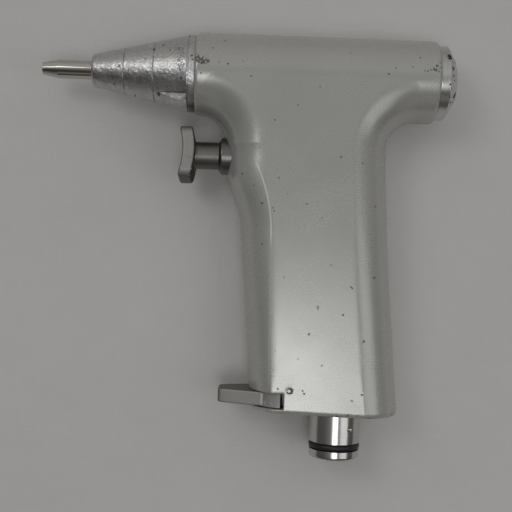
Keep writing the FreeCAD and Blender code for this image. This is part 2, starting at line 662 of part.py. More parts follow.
def collet_closer():
    """Sleeve that slides forward over the jaws and closes them."""
    front = closer_front()
    closed_front = front - CLOSER_TRAVEL
    taper_rear = COLLET_FRONT + COLLET_HEAD_LENGTH + CLOSER_TRAVEL
    outer = CUP_BORE_RADIUS - RUNNING_GAP
    shank_bore = COLLET_SHANK_RADIUS + RUNNING_GAP
    return turned([
        (front, collet_radius(closed_front) + RUNNING_GAP), (front, outer),
        (front + CLOSER_LENGTH, outer), (front + CLOSER_LENGTH, shank_bore), (taper_rear, shank_bore),
    ])


def collet_spring():
    """Spring that pushes the closer back off the jaws."""
    radius = (COLLET_HEAD_RADIUS + CUP_BORE_RADIUS) / 2
    return coil(CUP_FLOOR, closer_front(), radius, COLLET_SPRING_WIRE, COLLET_SPRING_TURNS)


# Ball bearings

def spindle_bearing_outer_radius():
    """Outside radius of the spindle's bearing."""
    return bearing_outer_radius(SPINDLE_RADIUS)


def bearing_outer_radius(shaft_radius):
    """Outside radius of a bearing on a shaft."""
    return shaft_radius + SEAT_GAP + 2 * BEARING_RING_THICKNESS + RACE_SPACE


def race_cutter(x_middle, orbit):
    """Torus that cuts the ball track."""
    return Part.makeTorus(orbit, BALL_RADIUS + RUNNING_GAP, Vector(x_middle, 0, 0), X_AXIS)


def bearing(x_start, shaft_radius):
    """Outer ring, inner ring and balls of one bearing."""
    inner_bore = shaft_radius + SEAT_GAP
    inner_outside = inner_bore + BEARING_RING_THICKNESS
    outer_bore = inner_outside + RACE_SPACE
    orbit = (inner_outside + outer_bore) / 2
    x_middle = x_start + BEARING_WIDTH / 2
    outer = ring(x_start, x_start + BEARING_WIDTH, bearing_outer_radius(shaft_radius), outer_bore)
    inner = ring(x_start, x_start + BEARING_WIDTH, inner_outside, inner_bore)
    track = race_cutter(x_middle, orbit)
    ball = Part.makeSphere(BALL_RADIUS, Vector(x_middle, orbit, 0), X_AXIS)
    return outer.cut(track), inner.cut(track), Part.makeCompound(pattern(ball, BALL_COUNT))


# Planetary reduction

def involute(base_radius, radius):
    """Angle that an involute has turned through when it reaches a radius."""
    roll = math.sqrt(max((radius / base_radius) ** 2 - 1, 0.0))
    return roll - math.atan(roll)


def gear_outline(teeth, tip_radius, root_radius, thickness_change):
    """Closed wire of a gear in the YZ plane, with a tooth on the +Y axis."""
    pitch_radius = GEAR_MODULE * teeth / 2
    base_radius = pitch_radius * math.cos(math.radians(PRESSURE_ANGLE_DEG))
    half_tooth = math.pi / (2 * teeth) + thickness_change / (2 * pitch_radius)
    inner = max(min(tip_radius, root_radius), base_radius)
    outer = max(tip_radius, root_radius)
    root_angle = half_tooth + involute(base_radius, pitch_radius)
    flank = []
    for step in range(FLANK_STEPS + 1):
        radius = inner + (outer - inner) * step / FLANK_STEPS
        flank.append((radius, root_angle - involute(base_radius, radius)))
    if min(tip_radius, root_radius) < inner:
        flank.insert(0, (min(tip_radius, root_radius), flank[0][1]))
    points = []
    for tooth in range(teeth):
        middle = 2 * math.pi * tooth / teeth
        for radius, angle in flank:
            points.append((radius, middle - angle))
        for radius, angle in reversed(flank):
            points.append((radius, middle + angle))
    corners = [Vector(0, radius * math.cos(angle), radius * math.sin(angle)) for radius, angle in points]
    return Part.makePolygon(corners + corners[:1])


def gear_blank(teeth, tip_radius, root_radius, thickness_change):
    """Toothed bar over the gears' face width."""
    face = Part.Face(gear_outline(teeth, tip_radius, root_radius, thickness_change))
    face.translate(Vector(GEAR_FRONT, 0, 0))
    return face.extrude(Vector(GEAR_FACE_WIDTH, 0, 0))


def pitch(teeth):
    """Pitch radius of a gear."""
    return GEAR_MODULE * teeth / 2


def sun_teeth():
    """Teeth of the sun pinion, which is cut on the rotor's shaft."""
    return gear_blank(SUN_TEETH, pitch(SUN_TEETH) + GEAR_ADDENDUM * GEAR_MODULE,
                      pitch(SUN_TEETH) - GEAR_DEDENDUM * GEAR_MODULE, -BACKLASH)


def planet_gear():
    """One planet on its pin, with a gap that faces the sun's first tooth."""
    planet = gear_blank(PLANET_TEETH, pitch(PLANET_TEETH) + GEAR_ADDENDUM * GEAR_MODULE,
                        pitch(PLANET_TEETH) - GEAR_DEDENDUM * GEAR_MODULE, -BACKLASH)
    planet.rotate(ORIGIN, X_AXIS, 180 - 180.0 / PLANET_TEETH)
    planet = planet.cut(rod(GEAR_FRONT - 1, GEAR_REAR + 1, PLANET_PIN_RADIUS + RUNNING_GAP))
    planet.translate(Vector(0, PLANET_ORBIT, 0))
    return planet


def ring_gear():
    """Internal gear that is fixed in the barrel."""
    tooth_space = gear_blank(RING_TEETH, pitch(RING_TEETH) + GEAR_DEDENDUM * GEAR_MODULE,
                             pitch(RING_TEETH) - GEAR_ADDENDUM * GEAR_MODULE, BACKLASH)
    tooth_space.rotate(ORIGIN, X_AXIS, 180.0 / RING_TEETH)
    blank = rod(GEAR_FRONT, GEAR_REAR, INSERT_RADIUS)
    return blank.cut(tooth_space)


def spindle():
    """Output spindle: flange in the nose cup, bearing journal and the carrier's front plate."""
    shaft = turned([
        (COLLET_REAR, WIRE_BORE_RADIUS), (COLLET_REAR, CUP_BORE_RADIUS - SEAT_GAP),
        (CUP_REAR, CUP_BORE_RADIUS - SEAT_GAP), (CUP_REAR, SPINDLE_RADIUS),
        (CARRIER_FRONT, SPINDLE_RADIUS), (CARRIER_FRONT, CARRIER_RADIUS, 0.5),
        (CARRIER_FRONT + CARRIER_PLATE, CARRIER_RADIUS, 0.5),
        (CARRIER_FRONT + CARRIER_PLATE, WIRE_TUBE_RADIUS + FREE_GAP),
        (CARRIER_FRONT, WIRE_TUBE_RADIUS + FREE_GAP), (CARRIER_FRONT, WIRE_BORE_RADIUS),
    ])
    return shaft.cut(pattern(pin_hole(), PLANET_COUNT))


def pin_hole():
    """Cutter for the first planet pin's hole."""
    return rod(CARRIER_FRONT - 1, CARRIER_REAR + 1, PLANET_PIN_RADIUS + SEAT_GAP, PLANET_ORBIT)


def planet_pins():
    """Pins that the planets turn on."""
    pin = rod(CARRIER_FRONT, CARRIER_REAR, PLANET_PIN_RADIUS, PLANET_ORBIT)
    return Part.makeCompound(pattern(pin, PLANET_COUNT))


def carrier_plate():
    """Rear plate of the planet carrier."""
    sun_tip = pitch(SUN_TEETH) + GEAR_ADDENDUM * GEAR_MODULE
    plate = ring(CARRIER_REAR - CARRIER_PLATE, CARRIER_REAR, CARRIER_RADIUS, sun_tip + FREE_GAP)
    return plate.cut(pattern(pin_hole(), PLANET_COUNT))


# Vane motor

def vane_space(extra):
    """One vane standing on the +Y side of the rotor, widened all round by extra."""
    height = VANE_HEIGHT + extra
    thickness = VANE_THICKNESS + 2 * extra
    return Part.makeBox(ROTOR_LENGTH, height, thickness,
                        Vector(ROTOR_FRONT, ROTOR_RADIUS - height, -thickness / 2))


def rotor():
    """Rotor with its two journals and the sun pinion, bored for the wire tube."""
    neck_radius = pitch(SUN_TEETH) - GEAR_DEDENDUM * GEAR_MODULE
    body = turned([
        (GEAR_FRONT + 1, 0), (GEAR_FRONT + 1, neck_radius), (PLATE_FRONT, neck_radius),
        (PLATE_FRONT, ROTOR_JOURNAL_RADIUS), (ROTOR_FRONT, ROTOR_JOURNAL_RADIUS),
        (ROTOR_FRONT, ROTOR_RADIUS, 0.3), (ROTOR_REAR, ROTOR_RADIUS, 0.3),
        (ROTOR_REAR, ROTOR_JOURNAL_RADIUS), (PLATE_REAR - 1, ROTOR_JOURNAL_RADIUS), (PLATE_REAR - 1, 0),
    ])
    slot = vane_space(RUNNING_GAP)
    slot = slot.fuse(slot.translated(Vector(0, VANE_HEIGHT / 2, 0)))
    bore = rod(GEAR_FRONT - 1, PLATE_REAR, WIRE_TUBE_RADIUS + FREE_GAP)
    return body.fuse(sun_teeth()).cut(pattern(slot, VANE_COUNT)).cut(bore)


def vanes():
    """Sliding vanes, drawn fully in."""
    return Part.makeCompound(pattern(vane_space(0.0), VANE_COUNT))


def motor_cylinder():
    """Liner whose bore is set below the rotor's axis."""
    blank = rod(CYLINDER_FRONT, CYLINDER_REAR, INSERT_RADIUS)
    return blank.cut(rod(CYLINDER_FRONT - 1, CYLINDER_REAR + 1, CYLINDER_BORE_RADIUS, -ROTOR_OFFSET))


def motor_plate(x_start, x_end, pocket_start, pocket_end):
    """End plate of the motor, with a pocket for the rotor's bearing."""
    plate = ring(x_start, x_end, INSERT_RADIUS, ROTOR_JOURNAL_RADIUS + FREE_GAP)
    pocket_radius = bearing_outer_radius(ROTOR_JOURNAL_RADIUS) + SEAT_GAP
    return plate.cut(rod(pocket_start, pocket_end, pocket_radius))


def front_plate():
    """End plate next to the gears."""
    return motor_plate(PLATE_FRONT, CYLINDER_FRONT, PLATE_FRONT - 1, CYLINDER_FRONT - END_PLATE_WEB)


def rear_plate():
    """End plate next to the rear cap."""
    return motor_plate(CYLINDER_REAR, PLATE_REAR, CYLINDER_REAR + END_PLATE_WEB, PLATE_REAR + 1)


def front_rotor_bearing_start():
    """Front face of the rotor's front bearing, against its plate's web."""
    return CYLINDER_FRONT - END_PLATE_WEB - BEARING_WIDTH


def wire_tube():
    """Fixed tube that leads the wire from the rear cap through the motor to the spindle."""
    return ring(CARRIER_FRONT + FREE_GAP, CAP_REAR - CAP_TUBE_RECESS, WIRE_TUBE_RADIUS, WIRE_BORE_RADIUS)


# Rear cap

def cap_o_ring():
    """Seal between the rear cap and the barrel."""
    return Part.makeTorus(INSERT_RADIUS - CAP_O_RING_SECTION, CAP_O_RING_SECTION,
                          Vector(BARREL_REAR - CAP_O_RING_SETBACK, 0, 0), X_AXIS)


def rear_cap():
    """Polished cap that screws into the barrel, holds the motor in and carries the wire tube."""
    groove_half = CAP_O_RING_SECTION + SEAT_GAP
    groove_radius = INSERT_RADIUS - 2 * CAP_O_RING_SECTION - SEAT_GAP
    seal_x = BARREL_REAR - CAP_O_RING_SETBACK
    tube_hole = WIRE_TUBE_RADIUS + SEAT_GAP
    cap = turned([
        (CAP_FRONT, INSERT_RADIUS - 2.5), (CAP_FRONT, INSERT_RADIUS),
        (seal_x - groove_half, INSERT_RADIUS), (seal_x - groove_half, groove_radius),
        (seal_x + groove_half, groove_radius), (seal_x + groove_half, INSERT_RADIUS),
        (BARREL_REAR, INSERT_RADIUS), (BARREL_REAR, CAP_RING_RADIUS, 0.3),
        (CAP_RING_REAR, CAP_RING_RADIUS, 0.5), (CAP_FACE, CAP_FACE_RADIUS, 1.2),
        (CAP_REAR, 3.2, 0.4),
        (CAP_REAR - CAP_TUBE_RECESS, tube_hole), (BARREL_REAR - CAP_FLOOR, tube_hole),
        (BARREL_REAR - CAP_FLOOR, INSERT_RADIUS - 4.5), (seal_x - 2, INSERT_RADIUS - 2.5),
    ])
    notch = Part.makeBox(2 * CAP_CHAMFER_LENGTH, CAP_NOTCH_WIDTH, CAP_RING_RADIUS,
                         Vector(CAP_RING_REAR + CAP_NOTCH_DEPTH, -CAP_NOTCH_WIDTH / 2, CAP_FACE_RADIUS - 1))
    notch.rotate(ORIGIN, X_AXIS, CAP_NOTCH_ANGLE_DEG)
    return cap.cut(pattern(notch, 4))


# Trigger and throttle valve

def pad_block():
    """Finger pad, hollowed in front and crowned behind, upright on the wire axis."""
    half = PAD_HEIGHT / 2
    side_rear = PAD_BACK - PAD_BACK_CROWN
    front_tip = side_rear - PAD_THICKNESS - PAD_HOLLOW / 4
    lower_front = Vector(front_tip, -half, 0)
    upper_front = Vector(front_tip, half, 0)
    upper_rear = Vector(side_rear, half, 0)
    lower_rear = Vector(side_rear, -half, 0)
    profile = Part.Wire([
        Part.Arc(lower_front, Vector(front_tip + PAD_HOLLOW, 0, 0), upper_front).toShape(),
        Part.LineSegment(upper_front, upper_rear).toShape(),
        Part.Arc(upper_rear, Vector(PAD_BACK, 0, 0), lower_rear).toShape(),
        Part.LineSegment(lower_rear, lower_front).toShape(),
    ])
    face = Part.Face(profile)
    face.translate(Vector(0, 0, -PAD_WIDTH / 2))
    block = face.extrude(Vector(0, 0, PAD_WIDTH))
    corners = [edge for edge in block.Edges
               if edge.BoundBox.XLength > 1 and max(edge.BoundBox.YLength, edge.BoundBox.ZLength) < 0.01]
    return block.makeFillet(PAD_CORNER_RADIUS, corners)


def trigger_pad():
    """Painted finger pad, pressed on the stem."""
    block = pad_block()
    side_rear = PAD_BACK - PAD_BACK_CROWN
    rims = [edge for edge in block.Edges
            if edge.BoundBox.XMax < side_rear - 0.5 or edge.BoundBox.XMin > side_rear - 0.1]
    block = block.makeFillet(PAD_EDGE_RADIUS, rims)
    block = block.cut(rod(PAD_BACK - PAD_SOCKET_DEPTH, PAD_BACK + 1, STEM_RADIUS + SEAT_GAP))
    block.rotate(ORIGIN, X_AXIS, TRIGGER_ROLL_DEG)
    block.translate(Vector(0, TRIGGER_Y, 0))
    return block


def at_trigger(shape):
    """Moves a shape from the wire axis to the trigger's axis."""
    return shape.translated(Vector(0, TRIGGER_Y, 0))


def trigger_stem():
    """Stem that slides in the collar, with a flange that keeps it in."""
    return at_trigger(turned([
        (PAD_BACK - PAD_SOCKET_DEPTH, 0), (PAD_BACK - PAD_SOCKET_DEPTH, STEM_RADIUS),
        (STEM_FLANGE_FRONT, STEM_RADIUS), (STEM_FLANGE_FRONT, STEM_FLANGE_RADIUS),
        (STEM_REAR, STEM_FLANGE_RADIUS), (STEM_REAR, 0),
    ]))


def trigger_collar():
    """Steel collar in the grip's front that guides the stem, recessed for the wiper."""
    return at_trigger(turned([
        (COLLAR_FRONT, WIPER_RADIUS - WIPER_STEP), (COLLAR_FRONT, COLLAR_RADIUS, 0.6),
        (COLLAR_REAR, COLLAR_RADIUS), (COLLAR_REAR, COLLAR_BORE_RADIUS),
        (COLLAR_FRONT + 1, COLLAR_BORE_RADIUS), (COLLAR_FRONT + 1, WIPER_RADIUS - WIPER_STEP),
    ]))


def trigger_wiper():
    """Rubber lip that keeps fluid off the stem."""
    seat = COLLAR_FRONT + 1 - SEAT_GAP
    neck = WIPER_RADIUS - WIPER_STEP - SEAT_GAP
    inner = STEM_RADIUS + RUNNING_GAP
    return at_trigger(turned([
        (COLLAR_FRONT - WIPER_REACH, inner), (COLLAR_FRONT - WIPER_REACH, WIPER_RADIUS - 0.4),
        (COLLAR_FRONT - WIPER_REACH + 0.5, WIPER_RADIUS), (COLLAR_FRONT - SEAT_GAP, WIPER_RADIUS),
        (COLLAR_FRONT - SEAT_GAP, neck), (seat, neck), (seat, inner),
    ]))


def valve_seat():
    """Seat that the throttle poppet closes on."""
    bore = POPPET_ROD_RADIUS + 0.9
    return at_trigger(turned([
        (VALVE_SEAT_FRONT, bore), (VALVE_SEAT_FRONT, VALVE_CHAMBER_RADIUS - SEAT_GAP),
        (VALVE_SEAT_REAR, VALVE_CHAMBER_RADIUS - SEAT_GAP), (VALVE_SEAT_REAR, POPPET_HEAD_RADIUS - 0.3),
        (VALVE_SEAT_REAR - 1, bore),
    ]))


def throttle_poppet():
    """Poppet that the stem pushes off its seat."""
    return at_trigger(turned([
        (STEM_REAR + SEAT_GAP, 0), (STEM_REAR + SEAT_GAP, POPPET_ROD_RADIUS),
        (POPPET_FRONT, POPPET_ROD_RADIUS), (POPPET_FRONT, POPPET_HEAD_RADIUS),
        (POPPET_REAR, POPPET_HEAD_RADIUS), (POPPET_REAR, 0),
    ]))


def trigger_spring():
    """Spring that closes the poppet and returns the trigger."""
    radius = POPPET_HEAD_RADIUS - TRIGGER_SPRING_WIRE
    return at_trigger(coil(POPPET_REAR, CHAMBER_REAR, radius, TRIGGER_SPRING_WIRE, TRIGGER_SPRING_TURNS))


# Direction selector

def lever_flat(points):
    """Plate of the lever's thickness from an outline of (behind the pivot, across) points."""
    plate = Part.Face(outline(points)).extrude(Vector(0, 0, LEVER_THICKNESS))
    plate.rotate(ORIGIN, X_AXIS, 90)
    return plate.translated(Vector(SELECTOR_X, -SELECTOR_DROP, 0))


def lever_arm():
    """Tapered arm with rounded edges, whose root lies inside the hub."""
    root = 0.69 * LEVER_HUB_RADIUS
    start = 0.17 * LEVER_HUB_RADIUS
    arm = lever_flat([
        (-start, -LEVER_ROOT_HALF_WIDTH - 0.5), (-root, -LEVER_ROOT_HALF_WIDTH),
        (-LEVER_REACH, -LEVER_TIP_HALF_WIDTH, LEVER_TIP_CORNER_RADIUS),
        (-LEVER_REACH, LEVER_TIP_HALF_WIDTH, LEVER_TIP_CORNER_RADIUS),
        (-root, LEVER_ROOT_HALF_WIDTH), (-start, LEVER_ROOT_HALF_WIDTH + 0.5),
    ])
    rim = [edge for edge in arm.Edges
           if edge.BoundBox.YLength < 0.01 and edge.BoundBox.XMin < SELECTOR_X - root / 2]
    return arm.makeFillet(LEVER_EDGE_RADIUS, rim)


def selector_lever():
    """Flat lever whose round hub closes its slot in the grip's front."""
    reach = 2 * LEVER_HUB_RADIUS
    half_angle = math.radians(LEVER_HUB_HALF_ANGLE_DEG)
    wedge = lever_flat([
        (0, 0), (-reach * math.cos(half_angle), reach * math.sin(half_angle)), (-reach, reach),
        (-reach, -reach), (-reach * math.cos(half_angle), -reach * math.sin(half_angle)),
    ])
    rim = post(SELECTOR_DROP, LEVER_BOTTOM, LEVER_HUB_RADIUS, SELECTOR_X).common(wedge)
    core = post(SELECTOR_DROP, LEVER_BOTTOM, LEVER_HUB_CORE_RADIUS, SELECTOR_X)
    lever = rim.fuse([core, lever_arm()])
    spindle_hole = SELECTOR_SPINDLE_RADIUS + SEAT_GAP
    return lever.cut(post(SELECTOR_DROP - 1, LEVER_BOTTOM + 1, spindle_hole, SELECTOR_X))


def selector_spindle():
    """Rotary valve spindle on the lever's axis, grooved for its retaining pin and ported for air."""
    groove_half = DETENT_PIN_RADIUS + 0.2
    port_half = 3.0
    port_middle = SELECTOR_SPINDLE_TOP + 8
    bottom_slope = math.tan(math.radians(GRIP_BOTTOM_SLOPE_DEG))
    end = GRIP_BOTTOM_DROP + SELECTOR_SETBACK * bottom_slope - SELECTOR_SPINDLE_LIP
    bar = turned([
        (SELECTOR_SPINDLE_TOP, 0), (SELECTOR_SPINDLE_TOP, SELECTOR_SPINDLE_RADIUS, 0.5),
        (DETENT_DROP - groove_half, SELECTOR_SPINDLE_RADIUS),
        (DETENT_DROP - groove_half, SELECTOR_SPINDLE_RADIUS - DETENT_GROOVE_DEPTH),
        (DETENT_DROP + groove_half, SELECTOR_SPINDLE_RADIUS - DETENT_GROOVE_DEPTH),
        (DETENT_DROP + groove_half, SELECTOR_SPINDLE_RADIUS),
        (end, SELECTOR_SPINDLE_RADIUS, 0.4), (end, 0),
    ])
    port = Part.makeBox(2 * port_half, 2 * SELECTOR_SPINDLE_RADIUS, SELECTOR_SPINDLE_RADIUS,
                        Vector(port_middle - port_half, -SELECTOR_SPINDLE_RADIUS, 1.8))
    bar = bar.cut([port, port.mirror(ORIGIN, Z_AXIS)])
    return hung(bar, SELECTOR_X)


def valve_sleeve():
    """Sleeve that the valve spindle turns in."""
    sleeve = ring(SELECTOR_SPINDLE_TOP - 1 + SEAT_GAP, POCKET_TOP - VALVE_SLEEVE_FLOOR - SEAT_GAP,
                  VALVE_SLEEVE_RADIUS, SELECTOR_SPINDLE_RADIUS + RUNNING_GAP)
    return hung(sleeve, SELECTOR_X)


def detent_pin():
    """Pin through the casting's side that keeps the spindle in and sits in its groove."""
    start = SELECTOR_SPINDLE_RADIUS - DETENT_GROOVE_DEPTH + 0.2
    return detent_rod(DETENT_PIN_RADIUS, start, GRIP_STATIONS[-2][3] - DETENT_PIN_RECESS)


# Hose connector

def hose_connector():
    """Polished stub that the air hose plugs on to."""
    groove_half = O_RING_SECTION + SEAT_GAP
    groove_radius = O_RING_OUTER_RADIUS - 2 * O_RING_SECTION - SEAT_GAP
    stub = turned([
        (CONNECTOR_SPIGOT_TOP, CONNECTOR_BORE_RADIUS),
        (CONNECTOR_SPIGOT_TOP, CONNECTOR_SPIGOT_RADIUS, 0.4),
        (CONNECTOR_SHOULDER + SEAT_GAP, CONNECTOR_SPIGOT_RADIUS),
        (CONNECTOR_SHOULDER + SEAT_GAP, CONNECTOR_SEAT_RADIUS),
        (CONNECTOR_COLLAR_DROP, CONNECTOR_SEAT_RADIUS), (CONNECTOR_COLLAR_DROP, CONNECTOR_RADIUS),
        (O_RING_DROP - groove_half, CONNECTOR_RADIUS), (O_RING_DROP - groove_half, groove_radius),
        (O_RING_DROP + groove_half, groove_radius), (O_RING_DROP + groove_half, CONNECTOR_RADIUS),
        (CONNECTOR_END, CONNECTOR_RADIUS, CONNECTOR_EDGE_RADIUS), (CONNECTOR_END, CONNECTOR_BORE_RADIUS),
    ])
    dimple = Part.makeCone(0, 2 * DIMPLE_RADIUS, 2 * DIMPLE_DEPTH,
                           Vector(DIMPLE_DROP, 0, CONNECTOR_RADIUS - DIMPLE_DEPTH), Z_AXIS)
    dimple.rotate(ORIGIN, X_AXIS, -DIMPLE_ANGLE_DEG)
    return hung(stub.cut(dimple), CONNECTOR_X)


def connector_o_ring():
    """Seal near the end of the hose connector."""
    middle = Vector(O_RING_DROP, 0, 0)
    seal = Part.makeTorus(O_RING_OUTER_RADIUS - O_RING_SECTION, O_RING_SECTION, middle, X_AXIS)
    return hung(seal, CONNECTOR_X)


def inlet_nipple():
    """Inner tube that brings the air in, while the space round it takes the exhaust out."""
    tube = ring(NIPPLE_TOP, CONNECTOR_END - NIPPLE_RECESS, NIPPLE_RADIUS, NIPPLE_BORE_RADIUS)
    return hung(tube, CONNECTOR_X)


def inlet_screen():
    """Filter disc on top of the inlet nipple."""
    disc = rod(NIPPLE_TOP - SCREEN_THICKNESS, NIPPLE_TOP, INLET_PASSAGE_RADIUS - SEAT_GAP)
    return hung(disc, CONNECTOR_X)


def build():
    """All pieces by name."""
    spindle_outer, spindle_inner, spindle_balls = bearing(SPINDLE_BEARING_FRONT, SPINDLE_RADIUS)
    front_outer, front_inner, front_balls = bearing(front_rotor_bearing_start(), ROTOR_JOURNAL_RADIUS)
    rear_outer, rear_inner, rear_balls = bearing(CYLINDER_REAR + END_PLATE_WEB, ROTOR_JOURNAL_RADIUS)
    pieces = {
        "housing": housing(),
        "nose_cone": nose_cone(),
        "nose_bushing": nose_bushing(),
        "nose_tube": nose_tube(),
        "collet": collet(),
        "collet_closer": collet_closer(),
        "collet_spring": collet_spring(),
        "spindle": spindle(),
        "spindle_bearing_outer": spindle_outer,
        "spindle_bearing_inner": spindle_inner,
        "spindle_bearing_balls": spindle_balls,
        "planet_pins": planet_pins(),
        "carrier_plate": carrier_plate(),
        "ring_gear": ring_gear(),
        "motor_front_plate": front_plate(),
        "motor_cylinder": motor_cylinder(),
        "motor_rear_plate": rear_plate(),
        "rotor": rotor(),
        "vanes": vanes(),
        "front_rotor_bearing_outer": front_outer,
        "front_rotor_bearing_inner": front_inner,
        "front_rotor_bearing_balls": front_balls,
        "rear_rotor_bearing_outer": rear_outer,
        "rear_rotor_bearing_inner": rear_inner,
        "rear_rotor_bearing_balls": rear_balls,
        "wire_tube": wire_tube(),
        "rear_cap": rear_cap(),
        "rear_cap_o_ring": cap_o_ring(),
        "trigger_pad": trigger_pad(),
        "trigger_stem": trigger_stem(),
        "trigger_collar": trigger_collar(),
        "trigger_wiper": trigger_wiper(),
        "throttle_poppet": throttle_poppet(),
        "throttle_valve_seat": valve_seat(),
        "trigger_spring": trigger_spring(),
        "selector_lever": selector_lever(),
        "selector_spindle": selector_spindle(),
        "selector_valve_sleeve": valve_sleeve(),
        "selector_detent_pin": detent_pin(),
        "hose_connector": hose_connector(),
        "connector_o_ring": connector_o_ring(),
        "inlet_nipple": inlet_nipple(),
        "inlet_screen": inlet_screen(),
    }
    for index, planet in enumerate(pattern(planet_gear(), PLANET_COUNT), start=1):
        pieces[f"planet_gear_{index}"] = planet
    return pieces


os.makedirs("parts", exist_ok=True)
for name, shape in build().items():
    shape.exportStep(f"parts/{name}.step")
    print(name, "valid" if shape.isValid() else "NOT VALID", len(shape.Solids), round(shape.Volume, 1))
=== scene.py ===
import math

import bpy
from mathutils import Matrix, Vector


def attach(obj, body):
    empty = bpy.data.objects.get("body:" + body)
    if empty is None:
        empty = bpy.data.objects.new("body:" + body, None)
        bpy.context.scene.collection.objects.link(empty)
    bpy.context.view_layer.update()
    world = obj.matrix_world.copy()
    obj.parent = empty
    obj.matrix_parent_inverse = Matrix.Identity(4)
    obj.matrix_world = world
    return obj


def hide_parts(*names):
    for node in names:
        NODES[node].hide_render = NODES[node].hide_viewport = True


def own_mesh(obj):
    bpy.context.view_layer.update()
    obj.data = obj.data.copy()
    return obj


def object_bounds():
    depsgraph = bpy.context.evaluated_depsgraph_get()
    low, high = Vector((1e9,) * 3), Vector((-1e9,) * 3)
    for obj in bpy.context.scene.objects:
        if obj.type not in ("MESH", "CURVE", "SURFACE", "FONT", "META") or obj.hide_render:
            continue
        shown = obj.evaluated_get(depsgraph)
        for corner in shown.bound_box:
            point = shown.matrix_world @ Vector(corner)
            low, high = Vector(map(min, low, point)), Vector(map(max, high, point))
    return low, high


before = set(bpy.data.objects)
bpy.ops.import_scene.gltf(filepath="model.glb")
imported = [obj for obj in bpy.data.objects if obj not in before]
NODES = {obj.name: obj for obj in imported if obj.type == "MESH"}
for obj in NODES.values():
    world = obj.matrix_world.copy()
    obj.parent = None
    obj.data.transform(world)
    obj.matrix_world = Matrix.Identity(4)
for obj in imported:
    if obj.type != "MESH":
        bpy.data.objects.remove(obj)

# Looks for the wire driver, in metres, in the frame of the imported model:
# the origin is the nose tube's mouth, X runs back along the barrel, -Y down the grip, Z up off the table.
# Places and heights on the surfaces are in millimetres, and noise scales are per metre.

MM = 0.001

CAD_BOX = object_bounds()


# Node helpers

EDGE_ROUND = 0.1 * MM        # how far worn edges are shaded round, in metres
EDGE_SAMPLES = 6
NOISE_SPAN = (0.3, 0.7)      # most of a noise lies between these
WIDE_NOISE_SPAN = (0.25, 0.75)
MARK_FADES = (1.1, 0.9)      # shares of a mark's radius, from where it starts to where it is full


